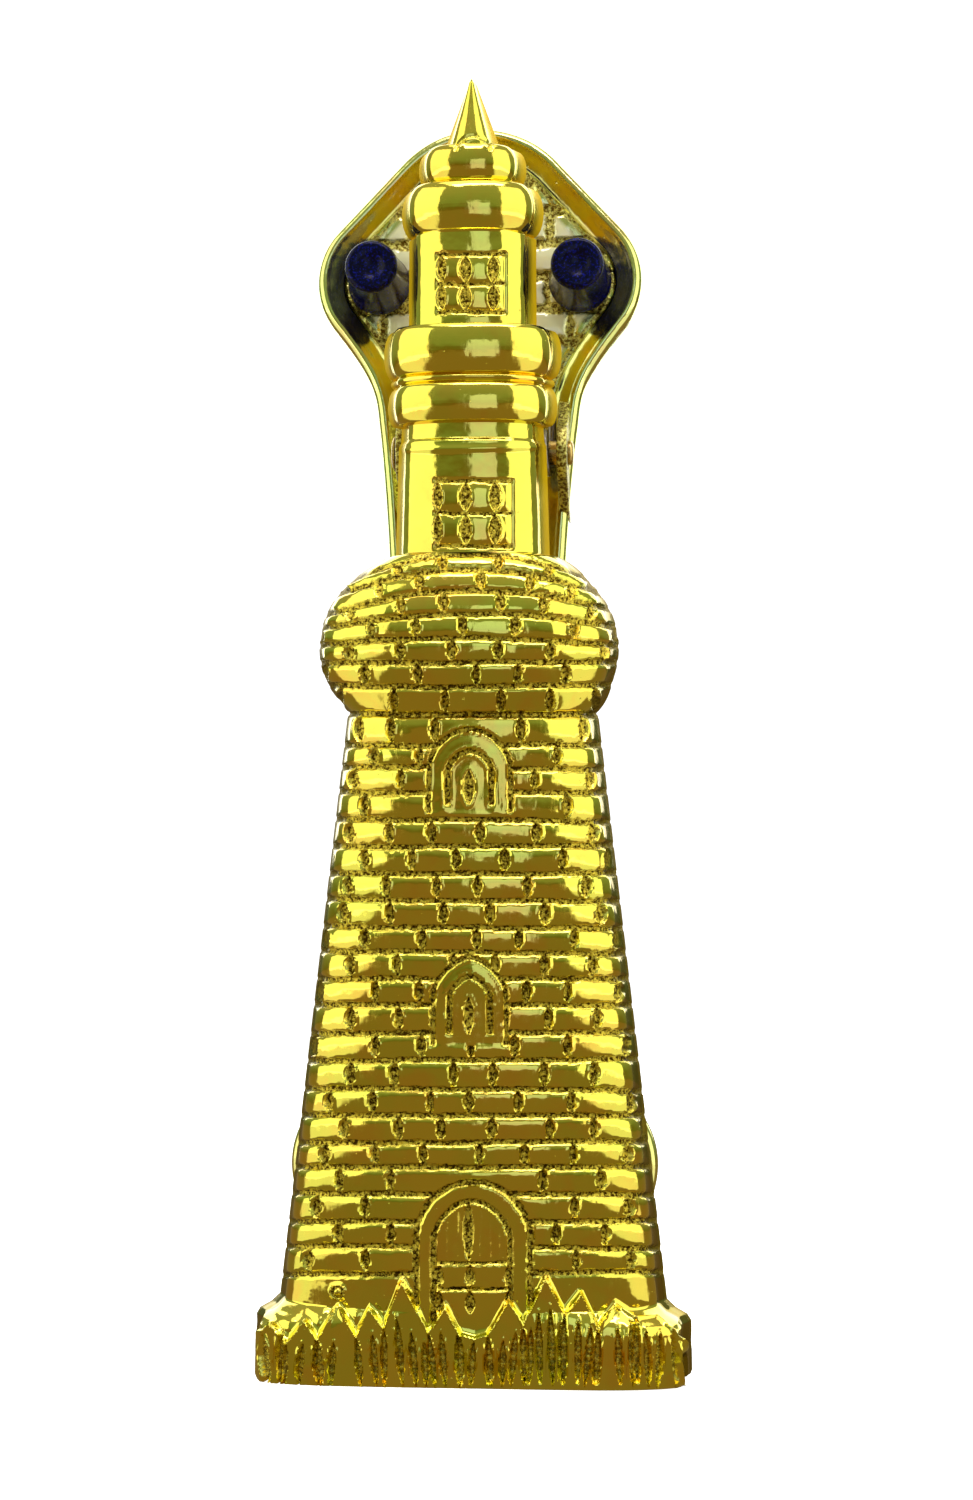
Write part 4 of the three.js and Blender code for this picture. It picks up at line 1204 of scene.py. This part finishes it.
lighthouse_piece("lighthouse_foot", FOOT_LOW, FOOT_TOP, 0.13, 400, 14, carve_lower, LIGHTHOUSE)
lighthouse_piece("lighthouse_tower", FOOT_TOP, LANTERN_LOW, 0.21, 190, 14, carve_lower, LIGHTHOUSE)
lighthouse_piece("lighthouse_lantern", LANTERN_LOW, HEIGHT, 0.15, 150, 10, carve_upper, LIGHTHOUSE)
plate_piece(PLATE)
lifter_piece(STEEL)
pin_piece(PIN)
spacer_piece(PIN)
spring_pieces(SPRING)
for side in (-1, 1):
    rivet_piece(side, STEEL)
    buffer_piece(side, RUBBER)
    insert_piece(side, PIN)
    screw_piece(side, STEEL)


# ---------- stage: floor, camera and lights ----------
PICTURE_ROWS, MM_PER_ROW = 1500, 0.1223  # the picture's height, and its scale at the point looked at
SENSOR = 36.0
ROOM_WHITE = 1.3  # strength of the white that the camera sees round the object


def stage_floor():
    size, low = 1500.0, cad_box[0][2] / MM
    points = [(-size, -size, low), (size, -size, low), (size, size, low), (-size, size, low)]
    floor = new_object("floor", points, [[0, 1, 2, 3]], smooth_shading=False)
    floor.data.materials.append(floor_material())


def add_camera():
    aim = Vector(to_row_frame(VIEW_X, 0.0, VIEW_W)[0]) * MM
    toward = Vector((math.sin(VIEW_ANGLE), -math.cos(VIEW_ANGLE) * math.cos(LEAN),
                     -math.cos(VIEW_ANGLE) * math.sin(LEAN)))
    up = Vector((0, -math.sin(LEAN), math.cos(LEAN)))
    across = up.cross(toward).normalized()
    camera = bpy.data.objects.new("camera", bpy.data.cameras.new("camera"))
    bpy.context.scene.collection.objects.link(camera)
    matrix = Matrix.Identity(4)
    for k, axis in enumerate((across, toward.cross(across), toward)):
        for row in range(3):
            matrix[row][k] = axis[row]
    matrix.translation = aim + toward * VIEW_DISTANCE * MM
    camera.matrix_world = matrix
    camera.data.lens = SENSOR * VIEW_DISTANCE / (PICTURE_ROWS * MM_PER_ROW)
    camera.data.clip_start = 0.01
    bpy.context.scene.camera = camera


def softbox(name, azimuth, elevation, distance, width, height, radiance, colour=(1, 1, 1)):
    """A rectangular lamp facing the object; azimuth 0 is in front and positive to the right, in degrees."""
    a, e = math.radians(azimuth), math.radians(elevation)
    toward = Vector((math.sin(a) * math.cos(e), -math.cos(a) * math.cos(e), math.sin(e)))
    light = bpy.data.lights.new(name, "AREA")
    light.shape, light.size, light.size_y = "RECTANGLE", width, height
    light.energy = radiance * math.pi * width * height
    light.color = colour
    obj = bpy.data.objects.new(name, light)
    bpy.context.scene.collection.objects.link(obj)
    obj.location = toward * distance
    obj.rotation_euler = toward.to_track_quat("Z", "Y").to_euler()


def add_world():
    world = bpy.data.worlds.new("studio")
    bpy.context.scene.world = world
    world.use_nodes = True
    tree = world.node_tree
    tree.nodes.clear()
    place = tree.nodes.new("ShaderNodeTexCoord")
    split = tree.nodes.new("ShaderNodeSeparateXYZ")
    ramp = tree.nodes.new("ShaderNodeValToRGB")
    room, seen = tree.nodes.new("ShaderNodeBackground"), tree.nodes.new("ShaderNodeBackground")
    path, both = tree.nodes.new("ShaderNodeLightPath"), tree.nodes.new("ShaderNodeMixShader")
    out = tree.nodes.new("ShaderNodeOutputWorld")
    link = tree.links.new
    link(place.outputs["Generated"], split.inputs[0])
    lift = tree.nodes.new("ShaderNodeMapRange")
    lift.inputs["From Min"].default_value, lift.inputs["From Max"].default_value = -1, 1
    link(split.outputs["Z"], lift.inputs[0])
    link(lift.outputs[0], ramp.inputs[0])
    stops = ((0.3, (0.19, 0.125, 0.02)), (0.46, (0.17, 0.11, 0.02)), (0.5, (0.15, 0.15, 0.04)),
             (0.58, (0.22, 0.28, 0.15)), (1.0, (0.4, 0.4, 0.3)))
    elements = ramp.color_ramp.elements
    while len(elements) < len(stops):
        elements.new(0.5)
    for element, (at, colour) in zip(elements, stops):
        element.position, element.color = at, (*colour, 1)
    link(ramp.outputs[0], room.inputs[0])
    seen.inputs[0].default_value = (1, 1, 1, 1)
    seen.inputs[1].default_value = ROOM_WHITE
    link(path.outputs["Is Camera Ray"], both.inputs[0])
    link(room.outputs[0], both.inputs[1])
    link(seen.outputs[0], both.inputs[2])
    link(both.outputs[0], out.inputs[0])


stage_floor()
add_camera()
add_world()
softbox("left_box", -67, 0, 0.6, 0.72, 1.4, 1.25, (1.0, 1.0, 0.95))
softbox("right_box", 67, 0, 0.6, 0.72, 1.4, 1.25, (1.0, 1.0, 0.95))
softbox("top_box", 10, 76, 0.8, 0.7, 0.5, 1.6)
softbox("back_box", 180, 30, 0.9, 1.3, 0.9, 2.2)
softbox("streak", 7, 2, 0.55, 0.2, 0.3, 0.8, (0.6, 0.75, 1.5))
softbox("glint", 14, 60, 0.7, 0.5, 0.14, 6.0, (1.0, 0.9, 1.3))
bpy.context.scene.view_settings.view_transform = "Standard"
